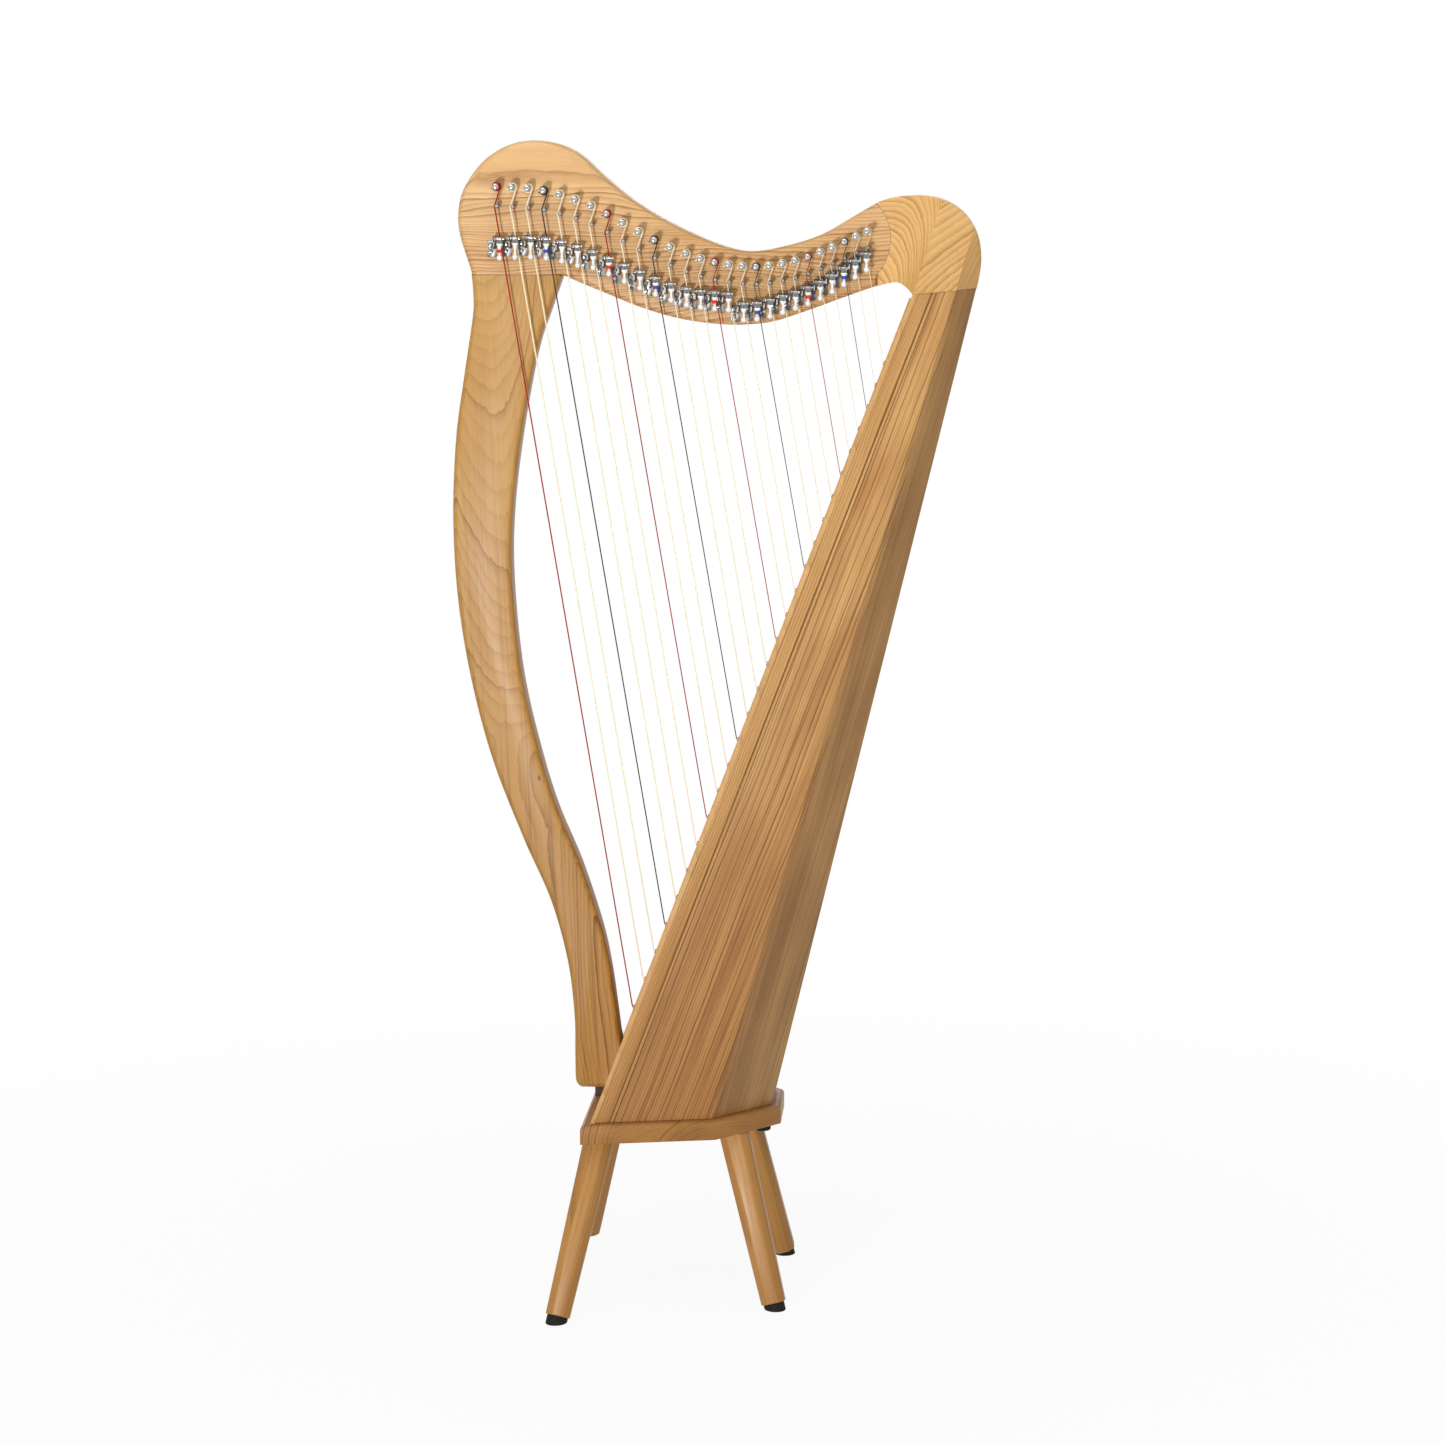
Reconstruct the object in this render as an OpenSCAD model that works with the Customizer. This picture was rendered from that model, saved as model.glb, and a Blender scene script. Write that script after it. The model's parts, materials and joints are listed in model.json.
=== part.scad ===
// Lever harp: curved neck and pillar, flat-sided soundbox, strings with sharping levers,
// and a base plate on four legs.
// Millimetres. +Z is up, the pillar stands at -X and the soundbox leans back towards +X.
// The strings and levers are on the -Y side of the neck.
// The origin is on the floor under the middle of the object.

/* [Base] */
// Height of the base plate's underside above the floor
leg_height = 174; // [140:1:210]
// Thickness of the base plate
plate_t = 19; // [16:1:26]
// Margin of the base plate around the soundbox
plate_margin = 9; // [7:0.5:14]
// Radius of the base plate's rounded top edge
plate_round = 5; // [2:0.5:7]
// Width of a leg under the plate
leg_top_w = 30; // [26:1:34]
// Width of a leg at its foot
leg_foot_w = 24; // [20:1:26]
// Radius of the tenon that holds a leg in the plate
tenon_r = 9; // [7:0.5:11]
// Depth of the tenon's socket
tenon_depth = 11; // [8:0.5:13]
// Height of a rubber leg tip
tip_h = 6.5; // [6:0.5:12]
// Radius of a rubber leg tip
tip_r = 10.5; // [8:0.5:11.5]
// Height of a rubber bumper under the plate
bumper_h = 6; // [4:0.5:9]
// Radius of a rubber bumper
bumper_r = 8; // [5:0.5:10]

/* [Soundbox] */
// Lean of the soundboard from the vertical
lean = 20.93; // [19:0.5:23]
// Half the width of the soundboard at its foot
board_half_w = 120; // [108:1:130]
// Distance from the soundboard's foot back to the rear edge of the side panel
side_depth = 118; // [108:1:126]
// Half the width between the side panels' rear edges
side_rear_half_w = 95; // [88:1:100]
// Distance from the soundboard's foot back to the back panel
box_depth = 175; // [168:1:182]
// Half the width of the back panel at its foot
back_half_w = 31; // [27:1:36]
// Height of the point in which the soundbox's long edges would meet
taper_h = 1240; // [1200:5:1300]
// Thickness of the soundboard
board_t = 4; // [3:0.5:6]
// Thickness of the side and back panels
panel_t = 5; // [4:0.5:8]
// Width of the rail along the soundboard's edge
rail_w = 21; // [20:1:30]
// Thickness of the rail along the soundboard's edge
rail_t = 10; // [8:0.5:14]
// Distance of the rail's groove from the soundboard's face
groove_at = 16.5; // [12:0.5:18]
// Width of the groove
groove_w = 1.4; // [0.8:0.1:2.4]
// Depth of the groove
groove_depth = 1.6; // [0.8:0.1:3]
// Height of the block inside the box's foot
foot_block_h = 42; // [30:1:60]
// Thickness of the braces inside the box
brace_t = 8; // [5:0.5:12]
// Height at which the shoulder block sits on the box, at the soundboard
seat_h = 810.7; // [800:1:820]
// Tilt of that seat
seat_tilt = 4.75; // [0:0.25:8]

/* [Neck and pillar] */
// Thickness of the neck and pillar
neck_t = 32; // [28:1:38]
// Height of the joint between pillar and neck above the seat
joint_rise = 17.3; // [13:0.1:21]
// Distance from the seat to the middle of the pillar's joint
pillar_reach = 382.1; // [376:0.5:388]
// Gap under the pillar's foot
pillar_gap = 10; // [6:0.5:14]
// Radius of the neck's rounded end in the shoulder block
joint_r = 49; // [46:0.5:52]
// Width of the hollow flare between the neck's face and the soundbox's side
flare_w = 48; // [42:1:54]

/* [Strings] */
// Number of strings
strings = 27; // [27:1:27]
// Distance of the strings from the neck's face, at the bridge pins
string_off = 12; // [10:0.5:14]
// Radius of the longest string
bass_string_r = 0.8; // [0.6:0.05:0.95]
// Radius of the shortest string
treble_string_r = 0.35; // [0.25:0.05:0.5]
// Distance of the first string's hole along the soundboard from its foot
first_hole_up = 97; // [92:1:104]
// Spacing of the bass strings' holes along the soundboard
hole_step_bass = 31; // [30:0.1:31.2]
// Spacing of the treble strings' holes along the soundboard
hole_step_treble = 22.6; // [21:0.1:23]
// Spacing of the bass strings along the neck
neck_step_bass = 15.45; // [15:0.05:15.6]
// Spacing of the shortest strings along the neck
neck_step_treble = 11.1; // [10.6:0.05:11.6]
// Turns of a string on its tuning pin
turns = 2; // [1.5:0.25:2.5]
// Thickness of the string strip on the soundboard
strip_t = 1.5; // [1:0.5:4]
// Half the width of the string strip at its foot
strip_half_w = 11; // [8:0.5:14]
// Thickness of the string bar inside the soundboard
bar_t = 6; // [4:0.5:9]

/* [Pins] */
// Radius of a tuning pin
tuning_r = 3.1; // [2.6:0.1:3.4]
// Length of a tuning pin on the strings' side
tuning_out = 25; // [22:0.5:30]
// Length of a tuning pin's square end on the other side
tuning_key = 18; // [12:0.5:24]
// Width across the tuning pin's square end
tuning_square = 4.2; // [3.4:0.1:4.3]
// Rise of a bass tuning pin above its bridge pin
tuning_rise_bass = 18.8; // [17:0.1:21]
// Rise of a treble tuning pin above its bridge pin
tuning_rise_treble = 15.8; // [14.5:0.1:18]
// Radius of a bridge pin
bridge_r = 2; // [1.6:0.1:2.4]
// Length of a bridge pin outside the neck
bridge_out = 15; // [13.5:0.5:17]
// Radius of a bridge pin in its groove for the string
bridge_groove_r = 1.6; // [1.2:0.1:1.8]

/* [Levers] */
// Distance of a lever's axle from the neck's face
axle_off = 15; // [14.5:0.1:17]
// Radius of the axle
axle_r = 0.9; // [0.7:0.05:1.1]
// Running clearance of the lever on its axle
axle_play = 0.05; // [0.02:0.01:0.1]
// Radius of a lever's barrel
barrel_r = 2; // [1.7:0.1:2.3]
// Radius of the collar ring on the barrel
collar_r = 2.6; // [2.2:0.1:2.9]
// Distance from the axle to the middle of a bass lever's knob
bass_reach = 18.3; // [17:0.1:20]
// Distance from the axle to the middle of the other levers' knobs
treble_reach = 15.2; // [14.5:0.1:17]
// Number of the longer bass levers
bass_levers = 6; // [1:1:16]
// Radius of a lever's knob
knob_r = 2.8; // [2.2:0.1:3.1]
// Lean of a resting lever away from the neck
lever_rest = 8; // [5:0.5:14]
// Swing of a lever from rest to its sharpened position
lever_swing = 110; // [90:5:115]
// Gap between the lever's cam and the string when the lever is up
cam_gap = 0.35; // [0.3:0.05:0.6]
// Thickness of a lever's plate
lever_plate_t = 1.2; // [0.8:0.1:1.6]

/* [Hidden] */
$fn = 48;
reach = 1500;
fit = 0.02;
sides = [-1, 1];

// The object's box is centred on the origin by this shift
origin_x = 1.5;
plate_top = leg_height + plate_t;
half_t = neck_t / 2;

// Corners of the soundbox's foot on the plate, from the soundboard to the back panel
board_x = -118;
box_a = [board_x, board_half_w];
box_b = [board_x + side_depth, side_rear_half_w];
box_c = [board_x + box_depth, back_half_w];
apex = [board_x + tan(lean) * taper_h, 0, taper_h];
box_middle = [board_x + box_depth / 2, 0, 100];
foot_outline = [
    [box_a.x, -box_a.y], [box_b.x, -box_b.y], [box_c.x, -box_c.y],
    [box_c.x, box_c.y], [box_b.x, box_b.y], [box_a.x, box_a.y]
];

// The soundboard's top end, where the shoulder block sits: [x, height above the plate], seen from the -Y side
seat = [board_x + tan(lean) * seat_h, seat_h];
joint_h = seat_h + joint_rise;
joint_x = seat.x - pillar_reach;
function from_seat(p) = [for (q = p) seat + q];

// Points of the bowed pillar from [share of its height, distance from the straight line through its ends]
function bowed(p) = [for (q = p) [board_x + (joint_x - board_x) * q[0] + q[1], q[0] * joint_h]];

neck_top = from_seat([
    [-433.3, -26.7], [-432, -5.7], [-432.9, 15.3], [-437.4, 31.6], [-444.6, 55.3], [-446.3, 77.3],
    [-440.6, 100.8], [-422.1, 126.8],
    [-398.1, 142.5], [-372.6, 147.8], [-346.1, 144.1], [-325.1, 133.9], [-304.1, 114.9], [-277.1, 92.4],
    [-247.1, 73.3], [-212.1, 56.1], [-184.1, 45.3], [-159.1, 40.5], [-129.4, 44.7], [-90.1, 56.7],
    [-50.9, 79.1], [-27.1, 91.1], [2.9, 95], [27.9, 91.3], [47.9, 79.3], [60.4, 62.3],
    [65.7, 44.3], [65.9, 25.3], [61.4, 1.3], [57.9, -10.7]
]);
neck_bottom = from_seat([
    [1.9, -10.7], [0.2, -0.7], [-2.3, 2.8], [-9.2, 8.8], [-18.1, 11.2], [-38.6, 6.1],
    [-62.1, -2], [-85.7, -10.7], [-109.2, -19], [-134.1, -27.1], [-156.1, -30.2], [-179.1, -31],
    [-200.1, -29.4], [-222.1, -26.4], [-249.1, -19.9], [-276.1, -10.7], [-302.1, -0.1], [-328.1, 10.5],
    [-343.6, 17.3], [-350.1, 20.3]
]);
pillar_front = concat([
    [board_x - 8, pillar_gap], [board_x - 18.5, pillar_gap], [board_x - 23, pillar_gap + 3],
    [board_x - 25.3, pillar_gap + 10], [board_x - 25.7, 45]
], bowed([
    [0.1027, -18.9], [0.1703, -20.6], [0.2452, -31.9], [0.3188, -53], [0.4167, -77], [0.5145, -90.8],
    [0.6111, -96.3], [0.7077, -93.4], [0.8031, -83], [0.8756, -69.4], [0.9469, -55], [0.9722, -51.9],
    [1.0024, -51.8], [1.0266, -55.1]
]));
pillar_back = concat(bowed([
    [1.0338, 53.4], [1.0036, 39.9], [0.9553, 21.8], [0.9215, 9.5], [0.8732, -3.1], [0.8013, -18.8],
    [0.7289, -31.5], [0.6618, -38.8], [0.5833, -41], [0.5097, -38.7], [0.436, -30.3], [0.3623, -17.7],
    [0.2886, 2], [0.2138, 16.6], [0.1643, 22], [0.1141, 24.3], [0.0797, 25.4]
]), [[board_x + 22, 48]]);
bridge_line = from_seat([
    [-422.1, 84.7], [-405.8, 84.5], [-360.1, 81.1], [-313.1, 66.7], [-251.6, 34.5], [-205.5, 16.5],
    [-165.1, 9.8], [-138.1, 10.7], [-101.1, 19.7], [-43.4, 45.1], [-32.1, 50.3]
]);
bass_lever_line = from_seat([
    [-422.1, 51.9], [-406.1, 52.5], [-360.1, 52.7], [-313.1, 40.3], [-266.1, 20.5], [-221.1, 4.7],
    [-179.1, -0.3], [-162.1, -1.7]
]);
treble_lever_line = from_seat([
    [-172.1, -9.7], [-165.1, -9.9], [-151.1, -9.1], [-125.6, -2.3], [-90.1, 10.9], [-45.6, 37.5],
    [-32.1, 46.3]
]);
straight_bass = 13;
first_bridge_x = seat.x - 405.8;

// The neck's rounded end in the shoulder block
joint_at = seat + [-71.1, 52.8];
joint_flat_x = seat.x - 34.5;

// Rear end of the pillar's joint under the neck
pillar_joint_end = seat.x - 343.6;

function unit(v) = v / norm(v);
function lerp(a, b, t) = a + (b - a) * t;
function blend(a, b, c, d, t) =
    0.5 * (2 * b + (c - a) * t + (2 * a - 5 * b + 4 * c - d) * t * t + (3 * b - a - 3 * c + d) * t * t * t);

// A smooth curve through the points after the first and before the last
function smooth(p, n = 5) = concat(
    [for (i = [1:len(p) - 3], k = [0:n - 1]) blend(p[i - 1], p[i], p[i + 1], p[i + 2], k / n)],
    [p[len(p) - 2]]
);

// Height of a line of points at x, between its second point and its last but one
function slope(p, i) = (p[i + 1].y - p[i - 1].y) / (p[i + 1].x - p[i - 1].x);
function stretch_at(p, x, i = 1) = i >= len(p) - 3 || x < p[i + 1].x ? i : stretch_at(p, x, i + 1);
function height_at(p, x) =
    let (i = stretch_at(p, x), w = p[i + 1].x - p[i].x, t = (x - p[i].x) / w)
    (1 + 2 * t) * (1 - t) * (1 - t) * p[i].y + t * (1 - t) * (1 - t) * w * slope(p, i)
    + t * t * (3 - 2 * t) * p[i + 1].y + t * t * (t - 1) * w * slope(p, i + 1);

// Length along a row whose steps shrink evenly from first_step to last_step
function row(n, first_step, last_step, count) =
    n * first_step - (first_step - last_step) / (count - 1) * n * (n - 1) / 2;

// Strings, counted from 0 at the longest
function share(i) = i / (strings - 1);
function string_r(i) = lerp(bass_string_r, treble_string_r, share(i));
function bridge_x(i) = first_bridge_x + min(i, straight_bass - 1) * neck_step_bass
    + row(max(i - straight_bass + 1, 0), neck_step_bass - 1.3, neck_step_treble, strings - straight_bass);
function bridge_pos(i) = [bridge_x(i), height_at(bridge_line, bridge_x(i))];
function tuning_pos(i) = bridge_pos(i) + [-0.4, lerp(tuning_rise_bass, tuning_rise_treble, share(i))];
function hole_up(i) = first_hole_up + row(i, hole_step_bass, hole_step_treble, strings - 1);
function board_point(depth, up) =
    [board_x + depth * cos(lean) + up * sin(lean), 0, up * cos(lean) - depth * sin(lean)];
eyelet_t = 0.8;
function string_foot(i) = board_point(-strip_t - eyelet_t - string_r(i), hole_up(i));
string_y = -half_t - string_off;
function string_head(i) =
    let (off = (bridge_groove_r + string_r(i)) * 1.06 + 0.05)
    [bridge_pos(i).x - off, string_y, bridge_pos(i).y];
function string_at(i, h) =
    let (a = string_foot(i), b = string_head(i)) lerp(a, b, (h - a.z) / (b.z - a.z));

// Levers: each hangs on the string's own line
function treble(i) = i > 15;
function lever_h(i) = height_at(treble(i) ? treble_lever_line : bass_lever_line, bridge_x(i));
function lever_pos(i) = [string_at(i, lever_h(i)).x, -half_t - axle_off, lever_h(i)];
function lever_reach(i) = i < bass_levers ? bass_reach : treble_reach;
function has_band(i) = i % 7 == 0 || i % 7 == 3;
cam_w = 2;
ear_t = 1.4;
ear_x = -6.6;
barrel_x0 = -4.4;
barrel_x1 = 3.2;
axle_end = 4.2;
lever_plate_w = 7.6;
lever_plate_h = 16;
lever_plate_drop = 17.7;
screw_x = -10.8;
screw_drops = [5.4, 12.6];
screw_head_r = 2.2;
screw_head_h = 1.5;
screw_r = 1.1;
screw_len = 10;

// Legs: place of each leg's middle under the plate and on the floor
leg_tops = [[-111, 92], [20, 60]];
leg_feet = [[-149, 155], [64, 97]];
leg_names = [["leg_front_left", "leg_front_right"], ["leg_rear_left", "leg_rear_right"]];
bumpers = [[-96, 52], [48, 36]];

function lever_name(i) = str("lever_", i < 9 ? "0" : "", i + 1);

// ---- shared shapes ----

// A closed body through rings of points, each ring anticlockwise as seen from the last ring
module loft(rings) {
    m = len(rings[0]);
    last = len(rings) - 1;
    polyhedron(
        points = [for (r = rings) each r],
        faces = concat(
            [[for (i = [0:m - 1]) i]],
            [for (r = [0:last - 1], i = [0:m - 1])
                [r * m + i, (r + 1) * m + i, (r + 1) * m + (i + 1) % m]],
            [for (r = [0:last - 1], i = [0:m - 1])
                [r * m + i, (r + 1) * m + (i + 1) % m, r * m + (i + 1) % m]],
            [[for (i = [m - 1:-1:0]) last * m + i]]
        )
    );
}

// A ring of an outline moved outwards by grow, at height h
function ring(outline, grow, h) =
    let (m = len(outline))
    [for (i = [0:m - 1])
        let (
            a = unit(outline[i] - outline[(i + m - 1) % m]),
            b = unit(outline[(i + 1) % m] - outline[i]),
            na = [a.y, -a.x],
            nb = [b.y, -b.x],
            q = outline[i] + grow * (na + nb) / (1 + na * nb)
        ) [q.x, q.y, h]];

// Everything between two depths behind the plane through three of the soundbox's points
module layer(p, q, r, near, far) {
    u = unit(q - p);
    side = cross(u, unit(r - p));
    n = unit(side * sign(side * (box_middle - p)));
    v = cross(n, u);
    multmatrix([[u.x, v.x, n.x, p.x], [u.y, v.y, n.y, p.y], [u.z, v.z, n.z, p.z], [0, 0, 0, 1]])
        translate([-reach, -reach, near]) cube([2 * reach, 2 * reach, far - near]);
}

// A body standing on the base plate
module above_plate() {
    translate([origin_x, 0, plate_top]) children();
}

// A shape in the soundboard's own frame: X into the box, Z up along the board
module on_board() {
    translate([board_x, 0, 0]) rotate([0, lean, 0]) children();
}

// A shape drawn as [x, height], extruded through the neck's thickness
module slab(points) {
    translate([0, half_t, 0]) rotate([90, 0, 0]) linear_extrude(neck_t) polygon(points);
}

// A round bar along Y from y0 to y1
module bar_y(r, y0, y1) {
    translate([0, y1, 0]) rotate([90, 0, 0]) cylinder(r = r, h = y1 - y0);
}

// A round bar along X from x0 to x1
module bar_x(r, x0, x1) {
    translate([x0, 0, 0]) rotate([0, 90, 0]) cylinder(r = r, h = x1 - x0);
}

// ---- soundbox ----

function foot_point(c, side) = [c.x, side * c.y, 0];

module front_layer(near, far) {
    layer(foot_point(box_a, -1), foot_point(box_a, 1), apex, near, far);
}

module side_layer(side, near, far) {
    layer(foot_point(box_a, side), foot_point(box_b, side), apex, near, far);
}

module rear_layer(side, near, far) {
    layer(foot_point(box_b, side), foot_point(box_c, side), apex, near, far);
}

module back_layer(near, far) {
    layer(foot_point(box_c, -1), foot_point(box_c, 1), apex, near, far);
}

// Everything from one height to another over the seat, in the seat's own frame
module seat_layer(h0, h1) {
    translate([seat.x, 0, seat.y]) rotate([0, -seat_tilt, 0])
        translate([-reach, -reach, h0]) cube([2 * reach, 2 * reach, h1 - h0]);
}

// The whole soundbox as one tapering body, cut at the shoulder block's seat
module box_body() {
    top = taper_h * 0.8;
    shrink = 1 - top / taper_h;
    intersection() {
        loft([
            [for (p = foot_outline) [p.x, p.y, 0]],
            [for (p = foot_outline) [lerp(apex.x, p.x, shrink), p.y * shrink, top]]
        ]);
        seat_layer(-2 * reach, 0);
    }
}

// What is left inside the walls
module box_inside() {
    difference() {
        box_body();
        front_layer(-1, board_t);
        for (s = sides) {
            side_layer(s, -1, panel_t);
            rear_layer(s, -1, panel_t);
            intersection() {
                front_layer(-1, rail_w);
                side_layer(s, -1, rail_t);
            }
        }
        back_layer(-1, panel_t);
    }
}

module string_hole(i, r) {
    on_board() translate([-strip_t - 2, 0, hole_up(i)])
        rotate([0, 90, 0]) cylinder(r = r, h = strip_t + board_t + bar_t + 4);
}

hole_r = 1.6;

module soundboard() {
    color("burlywood") above_plate() difference() {
        intersection() {
            box_body();
            front_layer(0, board_t);
        }
        for (i = [0:strings - 1]) string_hole(i, hole_r);
        pillar_bolt_hole(bolt_r + fit);
    }
}

// Heights along the soundboard between which the string strip and the string bar run
strip_end_gap = 6;
strip_up = [68, seat_h / cos(lean) - strip_end_gap];
strip_taper = 0.55;

// A tapering strip along the middle of the soundboard, wider than the string strip by grow on each side
module long_strip(depth, t, grow = 0, longer = 0) {
    foot_w = strip_half_w + grow;
    head_w = strip_half_w * strip_taper + grow;
    foot_up = strip_up[0] - longer;
    on_board() translate([depth, 0, 0]) rotate([90, 0, 90]) linear_extrude(t)
        polygon([[-foot_w, foot_up], [foot_w, foot_up], [head_w, strip_up[1]], [-head_w, strip_up[1]]]);
}

module string_strip() {
    color("peru") above_plate() difference() {
        long_strip(-strip_t, strip_t);
        for (i = [0:strings - 1]) string_hole(i, hole_r);
    }
}

module string_bar() {
    color("tan") above_plate() difference() {
        long_strip(board_t, bar_t, grow = 2);
        for (i = [0:strings - 1]) string_hole(i, hole_r);
    }
}

module side_rail(side) {
    color("goldenrod") above_plate() difference() {
        intersection() {
            box_body();
            side_layer(side, 0, rail_t);
            front_layer(board_t, rail_w);
        }
        intersection() {
            side_layer(side, -1, groove_depth);
            front_layer(groove_at, groove_at + groove_w);
        }
    }
}

module side_panel(side) {
    color("sandybrown") above_plate() difference() {
        intersection() {
            box_body();
            side_layer(side, 0, panel_t);
        }
        front_layer(-1, rail_w);
    }
}

module rear_panel(side) {
    color("peru") above_plate() difference() {
        intersection() {
            box_body();
            rear_layer(side, 0, panel_t);
        }
        side_layer(side, -1, panel_t);
    }
}

// Sound holes in the back panel: [height of the middle, straight length, radius]
sound_holes = [[150, 74, 17], [335, 74, 14], [515, 64, 11], [680, 50, 8]];

module back_panel() {
    back_lean = atan2(apex.x - box_c.x, taper_h);
    color("peru") above_plate() difference() {
        intersection() {
            box_body();
            back_layer(0, panel_t);
        }
        for (s = sides) {
            rear_layer(s, -1, panel_t);
            side_layer(s, -1, panel_t);
        }
        translate([box_c.x, 0, 0]) rotate([0, back_lean, 0]) for (h = sound_holes) {
            for (e = sides) translate([0, 0, h[0] + e * h[1] / 2]) bar_x(h[2], -3 * panel_t, 3 * panel_t);
            translate([-3 * panel_t, -h[2], h[0] - h[1] / 2]) cube([6 * panel_t, 2 * h[2], h[1]]);
        }
    }
}

bolt_h = 24;
bolt_r = 4;
bolt_head_r = 7;
bolt_head_h = 5;
bolt_len = 56;

module pillar_bolt_hole(r) {
    translate([board_x - 40, 0, bolt_h]) bar_x(r, 0, 200);
}

module foot_block() {
    color("tan") above_plate() difference() {
        intersection() {
            box_inside();
            translate([-reach, -reach, 0]) cube([2 * reach, 2 * reach, foot_block_h]);
        }
        pillar_bolt_hole(bolt_r + 0.3);
        translate([board_x + board_t + 24, 0, bolt_h]) bar_x(bolt_head_r + 2, 0, 200);
        long_strip(board_t, bar_t, grow = 2.5, longer = 1);
    }
}

// Frames that hold the panels apart inside the box
brace_heights = [262, 445, 620];

module box_braces() {
    color("tan") above_plate() for (h = brace_heights) difference() {
        intersection() {
            box_inside();
            translate([-reach, -reach, h]) cube([2 * reach, 2 * reach, brace_t]);
        }
        scale_h = 1 - h / taper_h;
        translate([lerp(board_x + side_depth * 0.55, apex.x, h / taper_h), 0, h - 1])
            cylinder(r = box_c.y * 1.55 * scale_h, h = brace_t + 2);
        long_strip(board_t - 1, bar_t + 1.4, grow = 2.4);
    }
}

// ---- base ----

function leg_axis(k, side) =
    let (a = leg_tops[k], b = leg_feet[k]) [[a.x, side * a.y, leg_height], [b.x, side * b.y, 0]];

// Children stand along a leg, from its foot on the floor upwards
module along_leg(k, side) {
    ends = leg_axis(k, side);
    d = unit(ends[0] - ends[1]);
    u = unit(cross([0, 1, 0], d));
    v = cross(d, u);
    p = ends[1];
    translate([origin_x, 0, 0])
        multmatrix([[u.x, v.x, d.x, p.x], [u.y, v.y, d.y, p.y], [u.z, v.z, d.z, p.z], [0, 0, 0, 1]])
            children();
}

function leg_len(k) = norm([leg_tops[k].x - leg_feet[k].x, leg_tops[k].y - leg_feet[k].y, leg_height]);

module base_plate() {
    steps = 5;
    color("burlywood") difference() {
        translate([origin_x, 0, leg_height]) loft(concat(
            [ring(foot_outline, plate_margin, 0)],
            [for (k = [0:steps])
                ring(foot_outline, plate_margin - plate_round * (1 - cos(90 * k / steps)),
                    plate_t - plate_round * (1 - sin(90 * k / steps)))]
        ));
        for (k = [0, 1], s = sides) along_leg(k, s)
            cylinder(r = tenon_r + 0.05, h = leg_len(k) + tenon_depth);
    }
}

chamfer = 0.26;

function leg_ring(w, h) =
    let (a = w / 2, b = w / 2 - w * chamfer)
    [[a, -b, h], [a, b, h], [b, a, h], [-b, a, h], [-a, b, h], [-a, -b, h], [-b, -a, h], [b, -a, h]];

// An eight-sided tapering leg, cut flush under the plate, with a round tenon in the plate
module leg(k, side) {
    color("peru") union() {
        intersection() {
            along_leg(k, side)
                loft([leg_ring(leg_foot_w, tip_h), leg_ring(leg_top_w, leg_len(k) + leg_top_w / 2)]);
            translate([-reach, -reach, 0]) cube([2 * reach, 2 * reach, leg_height]);
        }
        along_leg(k, side) translate([0, 0, leg_len(k) - 20])
            cylinder(r = tenon_r, h = 20 + tenon_depth - 0.5);
    }
}

// Rubber tips, cut flat by the floor
module leg_tips() {
    color([0.1, 0.1, 0.1]) for (k = [0, 1], s = sides) intersection() {
        along_leg(k, s) translate([0, 0, -tip_r]) cylinder(r = tip_r, h = tip_h + tip_r);
        translate([-reach, -reach, 0]) cube([2 * reach, 2 * reach, leg_height]);
    }
}

module base_bumpers() {
    color([0.1, 0.1, 0.1]) for (b = bumpers, s = sides)
        translate([origin_x + b.x, s * b.y, leg_height - bumper_h]) cylinder(r = bumper_r, h = bumper_h);
}

// ---- neck, shoulder and pillar ----

module head_shape() {
    slab(concat(smooth(neck_top), smooth(neck_bottom)));
}

// The part of the head that is the neck: it ends in a rounded joint
module neck_region() {
    translate([joint_at.x, 0, joint_at.y]) bar_y(joint_r, -half_t - 1, half_t + 1);
    translate([-reach, -half_t - 1, 0]) cube([reach + joint_flat_x, neck_t + 2, reach]);
}

module neck() {
    color("burlywood") above_plate() difference() {
        intersection() {
            head_shape();
            neck_region();
            translate([-reach, -reach, joint_h - 60]) cube([2 * reach, 2 * reach, reach]);
        }
        translate([-reach, -reach, 0]) cube([reach + pillar_joint_end, 2 * reach, joint_h]);
        for (i = [0:strings - 1]) {
            translate([tuning_pos(i).x, 0, tuning_pos(i).y]) bar_y(tuning_r + fit, -half_t - 1, half_t + 1);
            translate([bridge_pos(i).x, 0, bridge_pos(i).y]) bar_y(bridge_r + fit, -half_t - 1, -half_t + 12);
            for (z = screw_drops) translate([lever_pos(i).x + screw_x, 0, lever_pos(i).z - z])
                bar_y(screw_r + fit, -half_t - 1, -half_t + screw_len);
        }
    }
}

module shoulder_block() {
    flare_d = board_half_w * (1 - seat_h / taper_h) - half_t;
    flare_r = (flare_w * flare_w + flare_d * flare_d) / (2 * flare_d);
    wide = 60;
    color("peru") above_plate() difference() {
        intersection() {
            translate([0, wide, 0]) rotate([90, 0, 0]) linear_extrude(2 * wide)
                polygon(concat(smooth(neck_top), smooth(neck_bottom)));
            seat_layer(0, 2 * reach);
            translate([joint_flat_x, -reach, 0]) cube([reach, 2 * reach, reach]);
        }
        translate([joint_at.x, 0, joint_at.y]) bar_y(joint_r, -wide - 1, wide + 1);
        for (s = sides) {
            side_layer(s, -reach, 0);
            rear_layer(s, -reach, 0);
            on_board() translate([-flare_w, s * (half_t + flare_r), 0])
                cylinder(r = flare_r, h = reach, $fn = 96);
            on_board() translate([-flare_w - reach, s > 0 ? half_t : -half_t - reach, 0])
                cube([reach, reach, reach]);
        }
    }
}

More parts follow.
